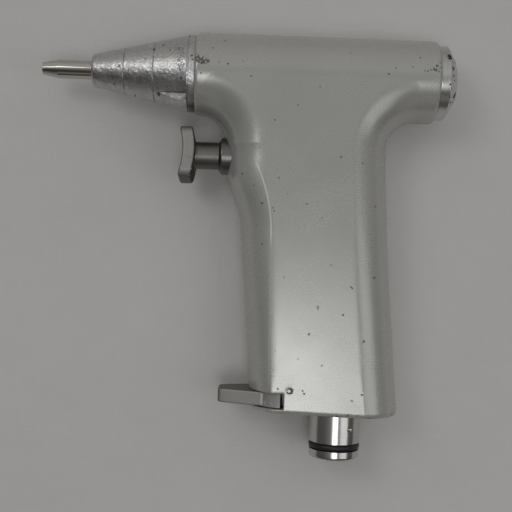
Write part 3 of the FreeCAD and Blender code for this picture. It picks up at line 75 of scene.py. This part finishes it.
class Shader:
    """Builds one procedural material."""

    def __init__(self, name, base, metallic, roughness):
        self.material = bpy.data.materials.new(name)
        self.material.use_nodes = True
        self.tree = self.material.node_tree
        self.surface = self.tree.nodes["Principled BSDF"]
        self.surface.inputs["Metallic"].default_value = metallic
        self.base = base
        self.colour = None
        self.rough = roughness
        self.height = None
        coordinates = self.tree.nodes.new("ShaderNodeTexCoord")
        self.place = coordinates.outputs["Object"]
        self.outward = coordinates.outputs["Normal"]

    def node(self, kind, **values):
        """New node with the named inputs set or linked."""
        made = self.tree.nodes.new(kind)
        for name, value in values.items():
            self.feed(made.inputs[name.replace("_", " ")], value)
        return made

    def feed(self, socket, value):
        """Links an output to a socket, or sets the socket's own value."""
        if isinstance(value, bpy.types.NodeSocket):
            self.tree.links.new(value, socket)
        else:
            socket.default_value = value

    def stretched(self, scale):
        """Object coordinates, scaled by axis."""
        mapping = self.node("ShaderNodeMapping", Vector=self.place)
        mapping.inputs["Scale"].default_value = scale
        return mapping.outputs["Vector"]

    def noise(self, scale, detail=3.0, roughness=0.55, vector=None):
        """Noise from 0 to 1."""
        made = self.node("ShaderNodeTexNoise", Vector=vector or self.place)
        made.inputs["Scale"].default_value = scale
        made.inputs["Detail"].default_value = detail
        made.inputs["Roughness"].default_value = roughness
        return made.outputs["Fac"]

    def stretched_noise(self, scale, detail, roughness):
        """Noise from 0 to 1, with a scale for each axis."""
        return self.noise(1.0, detail, roughness, self.stretched(scale))

    def remap(self, value, low, high, to_low=0.0, to_high=1.0):
        """Clamped linear change of range."""
        made = self.node("ShaderNodeMapRange", Value=value)
        made.inputs["From Min"].default_value = low
        made.inputs["From Max"].default_value = high
        made.inputs["To Min"].default_value = to_low
        made.inputs["To Max"].default_value = to_high
        return made.outputs["Result"]

    def patches(self, noise, start, full, most=1.0):
        """Mask that is 0 where a noise is below start, and most where it is above full."""
        return self.remap(noise, start, full, 0.0, most)

    def maths(self, operation, first, second=0.0):
        """Arithmetic on two values."""
        made = self.tree.nodes.new("ShaderNodeMath")
        made.operation = operation
        self.feed(made.inputs[0], first)
        self.feed(made.inputs[1], second)
        return made.outputs[0]

    def times(self, first, second):
        """Product of two values, or of two masks."""
        return self.maths("MULTIPLY", first, second)

    def either(self, first, second):
        """The greater of two values, or of two masks."""
        return self.maths("MAXIMUM", first, second)

    def mix(self, share, first, second):
        """Blend of two colours."""
        made = self.tree.nodes.new("ShaderNodeMix")
        made.data_type = "RGBA"
        self.feed(made.inputs["Factor"], share)
        self.feed(made.inputs[6], first)
        self.feed(made.inputs[7], second)
        return made.outputs[2]

    def axis(self, name):
        """One coordinate of the place, in metres."""
        return self.node("ShaderNodeSeparateXYZ", Vector=self.place).outputs[name]

    def facing(self, name):
        """One part of the outward direction, from -1 to 1."""
        return self.node("ShaderNodeSeparateXYZ", Vector=self.outward).outputs[name]

    def beyond(self, name, start, full):
        """Mask along one axis that rises from 0 at one place to 1 at another."""
        return self.remap(self.axis(name), start * MM, full * MM)

    def between(self, name, start, end, soft):
        """Mask that is 1 between two places on one axis, and rises and falls over a softness each way."""
        along = self.axis(name)
        rise = self.remap(along, (start - soft) * MM, (start + soft) * MM)
        fall = self.remap(along, (end + soft) * MM, (end - soft) * MM)
        return self.times(rise, fall)

    def marks(self, places, ragged=0.5, grain=2400.0):
        """Mask of small ragged patches on the upper side, from (X, Y, radius)."""
        flat = self.stretched((1.0, 1.0, 0.0))
        nearest = None
        for x, y, radius in places:
            away = self.tree.nodes.new("ShaderNodeVectorMath")
            away.operation = "DISTANCE"
            self.feed(away.inputs[0], flat)
            away.inputs[1].default_value = (x * MM, y * MM, 0.0)
            share = self.maths("DIVIDE", away.outputs["Value"], radius * MM)
            nearest = share if nearest is None else self.maths("MINIMUM", nearest, share)
        edge = self.remap(self.noise(grain, 2.0), *NOISE_SPAN, -ragged, ragged)
        patch = self.remap(self.maths("ADD", nearest, edge), *MARK_FADES)
        return self.times(patch, self.beyond("Z", 0.0, 1.0))

    def exposed(self, low, high):
        """Mask of convex edges."""
        geometry = self.tree.nodes.new("ShaderNodeNewGeometry")
        return self.remap(geometry.outputs["Pointiness"], low, high)

    def paint(self, share, colour, roughness=None):
        """Lays a colour, and a roughness, over what is there where the mask is 1."""
        self.colour = self.mix(share, self.colour or self.base, colour)
        if roughness is not None:
            rough = self.tree.nodes.new("ShaderNodeMix")
            self.feed(rough.inputs["Factor"], share)
            self.feed(rough.inputs[2], self.rough)
            rough.inputs[3].default_value = roughness
            self.rough = rough.outputs[0]

    def vary(self, noise, amount):
        """Makes the roughness wander with a noise by an amount each way."""
        wander = self.remap(noise, *WIDE_NOISE_SPAN, -amount, amount)
        self.rough = self.maths("ADD", self.rough, wander)

    def raise_by(self, mask, height):
        """Raises the surface by a mask's share of a height, or lowers it where the height is negative."""
        lift = self.times(mask, height * MM)
        self.height = lift if self.height is None else self.maths("ADD", self.height, lift)

    def done(self, edge_round=EDGE_ROUND):
        """Connects what has been built, shades edges round by so many metres, returns the material."""
        self.feed(self.surface.inputs["Base Color"], self.colour or self.base)
        self.feed(self.surface.inputs["Roughness"], self.rough)
        bump = self.node("ShaderNodeBump", Height=self.height)
        bump.inputs["Distance"].default_value = 1.0
        bump.inputs["Strength"].default_value = 1.0
        worn_edge = self.tree.nodes.new("ShaderNodeBevel")
        worn_edge.samples = EDGE_SAMPLES
        self.feed(worn_edge.inputs["Radius"], edge_round)
        self.tree.links.new(worn_edge.outputs["Normal"], bump.inputs["Normal"])
        self.tree.links.new(bump.outputs["Normal"], self.surface.inputs["Normal"])
        return self.material


BLUE_FALL = 1.6              # how much more blue falls than red rises in a warm grey
ENAMEL_BLUE = 0.962          # share of blue in the casting's enamel


def grey(value, warm=0.0):
    """Linear grey with a slight warm or cold cast."""
    return (value * (1 + warm), value, value * (1 - BLUE_FALL * warm), 1.0)


def silver(value):
    """Linear grey with the faint green-gold cast of the casting's enamel."""
    return (value, value, value * ENAMEL_BLUE, 1.0)


# Places seen in the photograph

CAMERA_PLACE = (0.0766, -0.0626, 0.297)
CAMERA_TURN_DEG = 2.2
CAMERA_LENS = 59.8
CAMERA_SENSOR = 36.0
PHOTO_PIXELS = 512
CASTING_HEIGHT = 14.0
CONE_HEIGHT = 12.0
CAP_HEIGHT = 11.0


def seen_at(column, row, height):
    """X and Y, in millimetres, of what the photograph shows at a pixel, at a height."""
    reach = (CAMERA_PLACE[2] - height * MM) * CAMERA_SENSOR / CAMERA_LENS / PHOTO_PIXELS
    right = (column - PHOTO_PIXELS / 2) * reach
    up = (PHOTO_PIXELS / 2 - row) * reach
    turn = math.radians(CAMERA_TURN_DEG)
    x = CAMERA_PLACE[0] + right * math.cos(turn) - up * math.sin(turn)
    y = CAMERA_PLACE[1] + right * math.sin(turn) + up * math.cos(turn)
    return x / MM, y / MM


def seen_marks(marks, height, share=1.0):
    """(X, Y, radius) in millimetres from (column, row, radius), with a share of each radius."""
    return [seen_at(column, row, height) + (radius * share,) for column, row, radius in marks]


# Painted pieces

# Chips and dirt on the casting, and painted shade round the detent pin's hole: pixel column, pixel row,
# radius in millimetres
CASTING_MARKS = (
    (225, 38, 0.30), (213, 47, 0.26), (228, 64, 0.32), (219, 62, 0.26), (243, 61, 0.22),
    (246, 68, 0.22), (251, 76, 0.30), (201, 73, 0.24), (298, 105, 0.28), (320, 87, 0.28),
    (351, 52, 0.24), (421, 57, 0.26), (389, 74, 0.30), (396, 68, 0.24), (413, 67, 0.24),
    (275, 120, 0.32), (260, 147, 0.24), (341, 157, 0.36), (363, 163, 0.30), (290, 168, 0.24),
    (242, 173, 0.30), (279, 178, 0.24), (254, 185, 0.24), (262, 203, 0.42), (273, 208, 0.30),
    (274, 211, 0.34), (287, 194, 0.24), (307, 204, 0.26), (322, 218, 0.20), (377, 206, 0.30),
    (257, 225, 0.24), (262, 244, 0.36), (284, 277, 0.30), (331, 265, 0.24), (375, 278, 0.40),
    (351, 287, 0.34), (352, 288, 0.30), (318, 307, 0.30), (318, 309, 0.26), (343, 315, 0.32),
    (309, 334, 0.34), (364, 342, 0.46), (275, 351, 0.24), (298, 359, 0.24), (322, 366, 0.24),
    (278, 389, 0.36), (303, 391, 0.30), (304, 394, 0.36), (362, 395, 0.34), (352, 401, 0.30),
    # The mark at (290, 391) is painted shade round the detent pin's hole.
    (269, 406, 0.44), (290, 391, 1.15),
)
FRONT_SMUDGE = ((198, 58, 0.9), (201, 60, 1.0), (204, 61, 0.7), (208, 61, 0.5))
REAR_BLOTCH = (
    (436, 70, 0.55), (437, 66, 0.3), (425, 71, 0.12), (428, 71, 0.16), (431, 70, 0.18), (433, 70, 0.24),
)
CHIP_SHARE = 0.9             # of the radius that the mark's place gives

# The flat face of the grip, and the crease where the grip's front rolls away from it, along which a
# highlight is painted.
# A stretch is its start, its end and how softly it begins and stops.
FACE_FADES = (6.0, 11.0)     # Z, from the side to the face
CREASE_BEND_X = 81.3
CREASE_BEND_Y = -55.0
CREASE_CURL = 0.0105         # forwards above the bend, per millimetre squared
CREASE_SLANT = 0.0205        # back below the bend, per millimetre
CREASE_BRIGHT = (-58.0, -33.0, 3.0)
CREASE_FAINT = (-108.0, -58.0, 4.0)
CREASE_FAINT_SHARE = 0.22
CREASE_WIDTH = (0.34, 0.10)  # from where the line starts, off its middle, to where it is full

# Edges that are shaded rounder, and edges that are dirty
GRIP_EDGES = (-105.0, -55.0, 5.0)
GRIP_EDGE_CHANGE = (95.0, 99.0)
FRONT_ROUNDING = 5.0
REAR_ROUNDING = 2.6
PLAIN_ROUNDING = 0.6
FOOT_EDGE = (-113.7, -114.6)
REAR_EDGE = (134.9, 135.6)
REAR_EDGE_STRETCH = (0.5, 11.0, 1.0)


def upper_side(shade):
    """Mask of what lies near the casting's flat face."""
    return shade.beyond("Z", *FACE_FADES)


def painted_crease_highlight(shade):
    """Mask of the painted highlight, a bright line where the grip's front rolls away from its flat face.
    """
    down = shade.axis("Y")
    above = shade.either(shade.maths("SUBTRACT", down, CREASE_BEND_Y * MM), 0.0)
    below = shade.either(shade.maths("SUBTRACT", CREASE_BEND_Y * MM, down), 0.0)
    curl = shade.times(shade.maths("POWER", above, 2.0), -CREASE_CURL / MM)
    slant = shade.times(below, CREASE_SLANT)
    line = shade.maths("ADD", shade.maths("ADD", curl, slant), CREASE_BEND_X * MM)
    away = shade.maths("ABSOLUTE", shade.maths("SUBTRACT", shade.axis("X"), line))
    thin = shade.remap(away, CREASE_WIDTH[0] * MM, CREASE_WIDTH[1] * MM)
    faint = shade.times(shade.between("Y", *CREASE_FAINT), CREASE_FAINT_SHARE)
    strength = shade.either(shade.between("Y", *CREASE_BRIGHT), faint)
    return shade.times(shade.times(thin, strength), upper_side(shade))


def casting_dirt_and_pin_shade(shade):
    """Mask of the chips, blots and dirty edges of the casting, and of painted shade round the detent pin's
    hole.
    """
    chips = shade.marks(seen_marks(CASTING_MARKS, CASTING_HEIGHT, CHIP_SHARE))
    blots = shade.marks(seen_marks(FRONT_SMUDGE + REAR_BLOTCH, CASTING_HEIGHT), 1.6, 1500.0)
    rear = shade.times(shade.beyond("X", *REAR_EDGE), shade.between("Y", *REAR_EDGE_STRETCH))
    edge = shade.either(shade.beyond("Y", *FOOT_EDGE), rear)
    crumbs = shade.patches(shade.noise(800.0, 4.0), 0.57, 0.61)
    return shade.either(shade.either(chips, blots), shade.times(edge, crumbs))


def casting_rounding(shade):
    """How far, in metres, the casting's edges are shaded round: furthest at the grip's front."""
    stretch = shade.between("Y", *GRIP_EDGES)
    start, end = GRIP_EDGE_CHANGE
    wide = shade.remap(shade.axis("X"), start * MM, end * MM, FRONT_ROUNDING * MM, REAR_ROUNDING * MM)
    reach = shade.times(wide, shade.times(stretch, upper_side(shade)))
    return shade.either(reach, PLAIN_ROUNDING * MM)


def satin_paint():
    """Silver satin enamel on the casting: fine flake, orange peel, the chips and dirt of long use, a
    painted highlight along the grip's front crease, and painted shade round the detent pin's hole.
    """
    shade = Shader("housing_paint", silver(0.47), 0.35, 0.26)
    flake = shade.patches(shade.noise(2600.0, 2.0), 0.35, 0.75, 0.5)
    shade.paint(flake, silver(0.53))
    cloud = shade.patches(shade.noise(38.0, 4.0), 0.45, 0.8, 0.3)
    shade.paint(cloud, silver(0.40))
    shade.vary(shade.noise(60.0), 0.03)
    shade.vary(shade.noise(2600.0, 1.0), 0.02)
    specks = shade.patches(shade.noise(1100.0, 2.0, 0.6), 0.64, 0.72, 0.10)
    shade.paint(specks, grey(0.12, 0.04), 0.5)
    # Painted highlight: a light, glossy line along the crease of the grip's front.
    shade.paint(painted_crease_highlight(shade), grey(0.90), 0.2)
    # These dark marks are chips and dirt, and painted shade round the detent pin's hole.
    dirt = casting_dirt_and_pin_shade(shade)
    shade.paint(shade.times(dirt, 0.85), grey(0.06, 0.04), 0.55)
    shade.raise_by(dirt, -0.03)
    peel = shade.noise(900.0, 2.0)
    shade.raise_by(peel, 0.004)
    return shade.done(casting_rounding(shade))


def worn_paint(name, value, roughness, wear):
    """Grey enamel on the small painted pieces, worn to metal on its edges, with painted shade down its
    sides and darker painted shade on its back.
    """
    shade = Shader(name, silver(value), 0.35, roughness)
    cloud = shade.patches(shade.noise(90.0, 4.0), 0.4, 0.75, 0.35)
    shade.paint(cloud, grey(value * 0.8, 0.03))
    # Painted shade: the enamel is darker where it turns away from facing up.
    painted_side_shade = shade.remap(shade.facing("Z"), 0.92, 0.55, 0.0, 0.85)
    shade.paint(painted_side_shade, grey(value * 0.33, 0.07), 0.6)
    # Painted shade: the enamel is near black where it faces back along the barrel.
    painted_back_shade = shade.remap(shade.facing("X"), 0.25, 0.7, 0.0, 0.9)
    shade.paint(painted_back_shade, grey(value * 0.10, 0.05), 0.6)
    patchy = shade.patches(shade.noise(700.0, 4.0), wear, wear + 0.1)
    shade.paint(shade.times(shade.exposed(0.51, 0.56), patchy), grey(0.5, 0.02), 0.35)
    grime = shade.patches(shade.noise(240.0, 5.0, 0.7), 0.60, 0.74, 0.5)
    shade.paint(grime, grey(0.07, 0.05), 0.6)
    shade.vary(shade.noise(150.0), 0.05)
    shade.raise_by(shade.noise(1100.0, 2.0), 0.012)
    return shade.done()


# Bare metal

TURNED_LINES = 2600.0        # rings per metre, along the barrel
UPRIGHT_LINES = 3200.0       # along the grip


def turned_metal(name, value, warm, roughness, line_height):
    """Metal turned on a lathe about the barrel's axis, with fine rings."""
    shade = Shader(name, grey(value, warm), 1.0, roughness)
    rings = shade.stretched_noise((TURNED_LINES, 4.0, 4.0), 3.0, 0.6)
    shade.vary(shade.stretched_noise((TURNED_LINES * 0.7, 9.0, 9.0), 2.0, 0.55), 0.06)
    shade.paint(shade.patches(rings, 0.3, 0.75, 0.35), grey(value * 0.72, warm))
    shade.raise_by(rings, line_height)
    return shade.done()


def upright_metal(name, value, warm, roughness):
    """Metal turned about an axis that runs down the grip."""
    shade = Shader(name, grey(value, warm), 1.0, roughness)
    rings = shade.stretched_noise((4.0, UPRIGHT_LINES, 4.0), 3.0, 0.6)
    shade.paint(shade.patches(rings, 0.3, 0.75, 0.25), grey(value * 0.75, warm))
    stain = shade.patches(shade.noise(120.0, 4.0), 0.55, 0.8, 0.3)
    shade.paint(stain, grey(value * 0.6, warm + 0.03))
    shade.vary(shade.stretched_noise((9.0, UPRIGHT_LINES * 0.75, 9.0), 2.0, 0.55), 0.05)
    shade.raise_by(rings, 0.0015)
    return shade.done()


def machined_metal(name, colour, roughness, grain=1.0):
    """Clean metal of an inner piece, with a slight film of oil."""
    shade = Shader(name, colour, 1.0, roughness)
    darker = tuple(channel * 0.7 for channel in colour[:3]) + (1.0,)
    shade.paint(shade.patches(shade.noise(160.0, 4.0), 0.4, 0.75, 0.6), darker)
    shade.vary(shade.noise(500.0), 0.06)
    shade.raise_by(shade.noise(2400.0, 2.0), 0.002 * grain)
    return shade.done()


# Marks on the cone and the cap: pixel column, pixel row, radius in millimetres
CONE_MARKS = (
    (117, 63, 0.36), (153, 47, 0.42), (162, 42, 0.34), (111, 80, 0.26), (108, 66, 0.22),
    (157, 91, 0.55), (163, 73, 0.30), (165, 73, 0.24), (156, 78, 0.24), (156, 86, 0.28),
    (181, 78, 0.50), (180, 70, 0.30), (192, 56, 0.40), (193, 60, 0.30), (127, 68, 0.22),
    (144, 57, 0.22), (170, 49, 0.26), (131, 90, 0.24),
)
CONE_RUBBED = (
    (180, 48, 0.8), (181, 54, 0.9), (179, 59, 0.7), (181, 66, 0.7), (190, 104, 0.9), (184, 96, 0.5),
)
CAP_MARKS = (
    (450, 57, 0.85), (449, 55, 0.5), (453, 69, 0.55), (454, 76, 0.35), (455, 80, 0.3),
    (449, 85, 0.3), (452, 101, 0.35), (450, 97, 0.25), (453, 62, 0.3),
)
CONE_GROOVES = (29.0, 39.4)  # X of their middles
GROOVE_HALF_WIDTH = 0.15
GROOVE_SOFTNESS = 0.1
NOTCH_SIDE = (-5.5, -7.0)    # Y, where the flat notch in the cone starts
CAP_RIM = (139.6, 142.6, 0.3)


def cone_dirt(shade):
    """Mask of the marks on the cone and of the dirt in its grooves."""
    marks = shade.marks(seen_marks(CONE_MARKS, CONE_HEIGHT))
    rubbed = shade.marks(seen_marks(CONE_RUBBED, CONE_HEIGHT), 2.6, 2100.0)
    dirt = shade.either(marks, shade.times(rubbed, 0.6))
    crumbs = shade.remap(shade.noise(700.0, 4.0, 0.7), 0.42, 0.6, 0.08, 0.6)
    for groove in CONE_GROOVES:
        line = shade.between("X", groove - GROOVE_HALF_WIDTH, groove + GROOVE_HALF_WIDTH, GROOVE_SOFTNESS)
        dirt = shade.either(dirt, shade.times(line, crumbs))
    return dirt


def worn_cone():
    """Turned aluminium, handled hard: a beaten surface, pits, and dirt rubbed into it."""
    shade = Shader("cone_aluminium", grey(0.54), 1.0, 0.35)
    rings = shade.stretched_noise((1700.0, 6.0, 6.0), 3.0, 0.6)
    shade.paint(shade.patches(rings, 0.3, 0.75, 0.3), grey(0.42))
    shade.raise_by(rings, 0.003)
    shade.raise_by(shade.noise(820.0, 3.0, 0.6), 0.16)
    shade.raise_by(shade.noise(300.0, 2.0), 0.16)
    glints = shade.patches(shade.noise(1150.0, 3.0, 0.6), 0.52, 0.66, 0.8)
    shade.paint(glints, grey(0.72), 0.28)
    shade.vary(shade.noise(420.0, 4.0), 0.08)
    haze = shade.patches(shade.noise(190.0, 5.0, 0.7), 0.5, 0.75, 0.4)
    shade.paint(haze, grey(0.30), 0.5)
    pits = shade.patches(shade.noise(1500.0, 3.0, 0.7), 0.70, 0.73, 0.8)
    shade.paint(pits, grey(0.07), 0.6)
    # Painted shade: the notch's flat floor is painted darker, broken up by scratches.
    notch = shade.times(shade.remap(shade.facing("Z"), 0.90, 0.97), shade.beyond("Y", *NOTCH_SIDE))
    scratches = shade.remap(shade.stretched_noise((500.0, 1900.0, 500.0), 4.0, 0.7), 0.35, 0.6, 0.45, 0.95)
    shade.paint(shade.times(notch, scratches), grey(0.22), 0.5)
    dirt = cone_dirt(shade)
    shade.paint(shade.times(dirt, 0.8), grey(0.07, 0.03), 0.6)
    shade.raise_by(dirt, -0.03)
    return shade.done()


def nicked_cap():
    """Polished aluminium, turned fine, with nicks knocked into its rim."""
    shade = Shader("polished_cap", grey(0.62), 1.0, 0.24)
    rings = shade.stretched_noise((1500.0, 5.0, 5.0), 3.0, 0.6)
    shade.paint(shade.patches(rings, 0.3, 0.75, 0.3), grey(0.46))
    shade.raise_by(rings, 0.002)
    shade.raise_by(shade.noise(500.0), 0.015)
    shade.vary(shade.noise(260.0, 4.0), 0.06)
    nicks = shade.marks(seen_marks(CAP_MARKS, CAP_HEIGHT), 0.9, 1500.0)
    rim = shade.between("X", *CAP_RIM)
    crumbs = shade.patches(shade.noise(620.0, 5.0, 0.7), 0.60, 0.64, 0.7)
    dirt = shade.either(nicks, shade.times(rim, crumbs))
    shade.paint(dirt, grey(0.05, 0.03), 0.6)
    shade.raise_by(dirt, -0.05)
    return shade.done()


# Rubber and plastic

def rubber():
    """Black nitrile, slightly dusty."""
    shade = Shader("black_rubber", grey(0.012), 0.0, 0.42)
    dust = shade.patches(shade.noise(500.0, 4.0), 0.5, 0.75, 0.5)
    shade.paint(dust, grey(0.035, 0.02))
    shade.vary(shade.noise(300.0), 0.08)
    shade.raise_by(shade.noise(1800.0), 0.008)
    return shade.done()


def vane_plastic():
    """Brown layered phenolic of the vanes."""
    shade = Shader("vane_plastic", (0.16, 0.075, 0.03, 1.0), 0.0, 0.45)
    layers = shade.stretched_noise((60.0, 900.0, 900.0), 2.0, 0.5)
    shade.paint(shade.patches(layers, 0.4, 0.65, 0.7), (0.09, 0.04, 0.018, 1.0))
    shade.vary(shade.noise(400.0), 0.07)
    shade.raise_by(layers, 0.006)
    return shade.done()


def dress_nodes():
    """Gives every CAD node its material."""
    groups = {
        satin_paint(): ["housing"],
        worn_paint("trigger_paint", 0.34, 0.45, 0.52): ["trigger_pad"],
        worn_paint("lever_paint", 0.40, 0.42, 0.56): ["selector_lever"],
        worn_cone(): ["nose_cone"],
        nicked_cap(): ["rear_cap"],
        turned_metal("collar_steel", 0.19, 0.02, 0.34, 0.0015): ["trigger_collar"],
        turned_metal("stem_steel", 0.19, 0.05, 0.42, 0.0015): ["trigger_stem"],
        turned_metal("polished_steel", 0.58, 0.035, 0.07, 0.0004): ["nose_tube", "wire_tube"],
        upright_metal("connector_steel", 0.60, 0.02, 0.20): [
            "hose_connector", "inlet_nipple", "selector_spindle", "selector_valve_sleeve", "inlet_screen",
        ],
        machined_metal("gear_steel", grey(0.42, 0.01), 0.28): [
            "spindle", "carrier_plate", "ring_gear", "rotor",
            "planet_gear_1", "planet_gear_2", "planet_gear_3",
            "motor_front_plate", "motor_cylinder", "motor_rear_plate", "collet_closer", "throttle_poppet",
        ],
        machined_metal("bearing_steel", grey(0.60), 0.16, 0.5): [
            "spindle_bearing_outer", "spindle_bearing_inner", "spindle_bearing_balls",
            "front_rotor_bearing_outer", "front_rotor_bearing_inner", "front_rotor_bearing_balls",
            "rear_rotor_bearing_outer", "rear_rotor_bearing_inner", "rear_rotor_bearing_balls",
            "planet_pins",
        ],
        machined_metal("spring_steel", grey(0.45, 0.02), 0.25): [
            "collet_spring", "trigger_spring", "collet",
        ],
        machined_metal("pin_steel", grey(0.16, 0.02), 0.2): ["selector_detent_pin"],
        machined_metal("bronze", (0.55, 0.33, 0.14, 1.0), 0.3): ["nose_bushing", "throttle_valve_seat"],
        rubber(): ["rear_cap_o_ring", "trigger_wiper", "connector_o_ring"],
        vane_plastic(): ["vanes"],
    }
    dressed = set()
    for material, names in groups.items():
        for name in names:
            mesh_object = NODES[name]
            for slot in mesh_object.material_slots:
                slot.material = material
            if not mesh_object.material_slots:
                mesh_object.data.materials.append(material)
            dressed.add(name)
    bare = set(NODES) - dressed
    if bare:
        raise ValueError(f"nodes without a material: {sorted(bare)}")


# Springs


def shortening_spring(node, body):
    """Copy of a spring, with its own mesh, attached to a body in place of the hidden original."""
    spring = bpy.data.objects.new(f"{node}_coil", NODES[node].data.copy())
    bpy.context.collection.objects.link(spring)
    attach(spring, body)
    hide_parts(node)
    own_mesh(spring)


def springs():
    """Copies of the trigger's spring, on the body, and of the collet's, on the output spindle."""
    shortening_spring("trigger_spring", "body")
    shortening_spring("collet_spring", "output_spindle")


# Floor, lights and camera

FLOOR_SIZE = 3.0
FLOOR_MIDDLE = (0.08, -0.06)
LAMP_TARGET = (0.08, -0.05, 0.0)
LAMPS = (
    # (name, place, size, watts)
    ("far_left_panel", (-0.27, 0.19, 0.60), (0.24, 0.26), 0.45),
    ("overhead_panel", (0.09, -0.285, 1.0), (0.32, 0.27), 0.80),
    ("overhead_glow", (0.08, -0.40, 1.02), (0.46, 0.40), 0.55),
    ("right_panel", (0.50, -0.17, 0.46), (0.30, 0.36), 0.30),
)
ROOM_GLOW = (
    # (direction's Y, brightness, warmth): dark on the near side of the table, bright on the far side
    (-1.0, 0.07, 0.08), (-0.92, 0.07, 0.08), (-0.86, 0.18, 0.04), (-0.78, 0.17, 0.04), (-0.66, 0.05, 0.08),
    (-0.30, 0.05, 0.05), (-0.12, 0.24, 0.0), (0.08, 0.26, 0.0), (0.3, 0.48, 0.0), (0.8, 0.40, 0.03),
    (1.0, 0.30, 0.05),
)
SIDE_GLOW = (
    # (direction's X, share of that brightness, warmth)
    (-1.0, 0.50, 0.0), (-0.75, 0.60, 0.0), (-0.5, 1.0, 0.0),
    (0.5, 1.0, 0.0), (0.75, 0.60, 0.0), (1.0, 0.50, 0.0),
)


def floor():
    """Plain pale cloth on the table."""
    shade = Shader("pale_cloth", grey(0.67, 0.010), 0.0, 0.9)
    crumple = shade.patches(shade.noise(16.0), 0.35, 0.7, 0.35)
    shade.paint(crumple, grey(0.61, 0.012))
    across = shade.stretched_noise((1400.0, 90.0, 1.0), 2.0, 0.5)
    along = shade.stretched_noise((90.0, 1400.0, 1.0), 2.0, 0.5)
    weave = shade.maths("ADD", across, along)
    shade.paint(shade.patches(weave, 0.8, 1.3, 0.16), grey(0.56, 0.008))
    shade.raise_by(weave, 0.04)
    shade.raise_by(shade.noise(55.0, 2.0), 0.7)
    bpy.ops.mesh.primitive_plane_add(size=FLOOR_SIZE, location=(*FLOOR_MIDDLE, CAD_BOX[0][2]))
    plane = bpy.context.object
    plane.name = "floor"
    plane.data.materials.append(shade.done())


def lamp(name, place, size, power):
    """Soft rectangular lamp that faces the tool."""
    data = bpy.data.lights.new(name, "AREA")
    data.shape = "RECTANGLE"
    data.size, data.size_y = size
    data.energy = power
    light = bpy.data.objects.new(name, data)
    light.location = place
    light.rotation_euler = (Vector(LAMP_TARGET) - Vector(place)).to_track_quat("-Z", "Y").to_euler()
    bpy.context.collection.objects.link(light)


def ramp(tree, value, steps):
    """Colour ramp over -1 to 1 from (place, brightness, warmth) steps."""
    spread = tree.nodes.new("ShaderNodeMapRange")
    spread.inputs["From Min"].default_value = -1.0
    made = tree.nodes.new("ShaderNodeValToRGB")
    elements = made.color_ramp.elements
    while len(elements) < len(steps):
        elements.new(0.5)
    for element, (place, brightness, warmth) in zip(elements, steps):
        element.position = (place + 1) / 2
        element.color = grey(brightness, warmth)
    tree.links.new(value, spread.inputs["Value"])
    tree.links.new(spread.outputs["Result"], made.inputs["Fac"])
    return made.outputs["Color"]


def room():
    """Room light that changes from the near side to the far side of the table, and dims to its ends."""
    world = bpy.data.worlds.new("room")
    world.use_nodes = True
    tree = world.node_tree
    direction = tree.nodes.new("ShaderNodeTexCoord")
    split = tree.nodes.new("ShaderNodeSeparateXYZ")
    tree.links.new(direction.outputs["Generated"], split.inputs["Vector"])
    glow = tree.nodes.new("ShaderNodeMix")
    glow.data_type = "RGBA"
    glow.blend_type = "MULTIPLY"
    glow.inputs["Factor"].default_value = 1.0
    tree.links.new(ramp(tree, split.outputs["Y"], ROOM_GLOW), glow.inputs[6])
    tree.links.new(ramp(tree, split.outputs["X"], SIDE_GLOW), glow.inputs[7])
    tree.links.new(glow.outputs[2], tree.nodes["Background"].inputs["Color"])
    bpy.context.scene.world = world


def lights():
    """Soft panels over the table, in a dim room."""
    for name, place, size, power in LAMPS:
        lamp(name, place, size, power)
    room()


def camera():
    """Straight down on the tool, turned a little as in the photograph."""
    data = bpy.data.cameras.new("camera")
    data.sensor_width = CAMERA_SENSOR
    data.lens = CAMERA_LENS
    made = bpy.data.objects.new("camera", data)
    made.location = CAMERA_PLACE
    made.rotation_euler = (0.0, 0.0, math.radians(CAMERA_TURN_DEG))
    bpy.context.collection.objects.link(made)
    bpy.context.scene.camera = made


camera()
lights()
floor()
dress_nodes()
springs()
bpy.context.scene.view_settings.view_transform = "Standard"
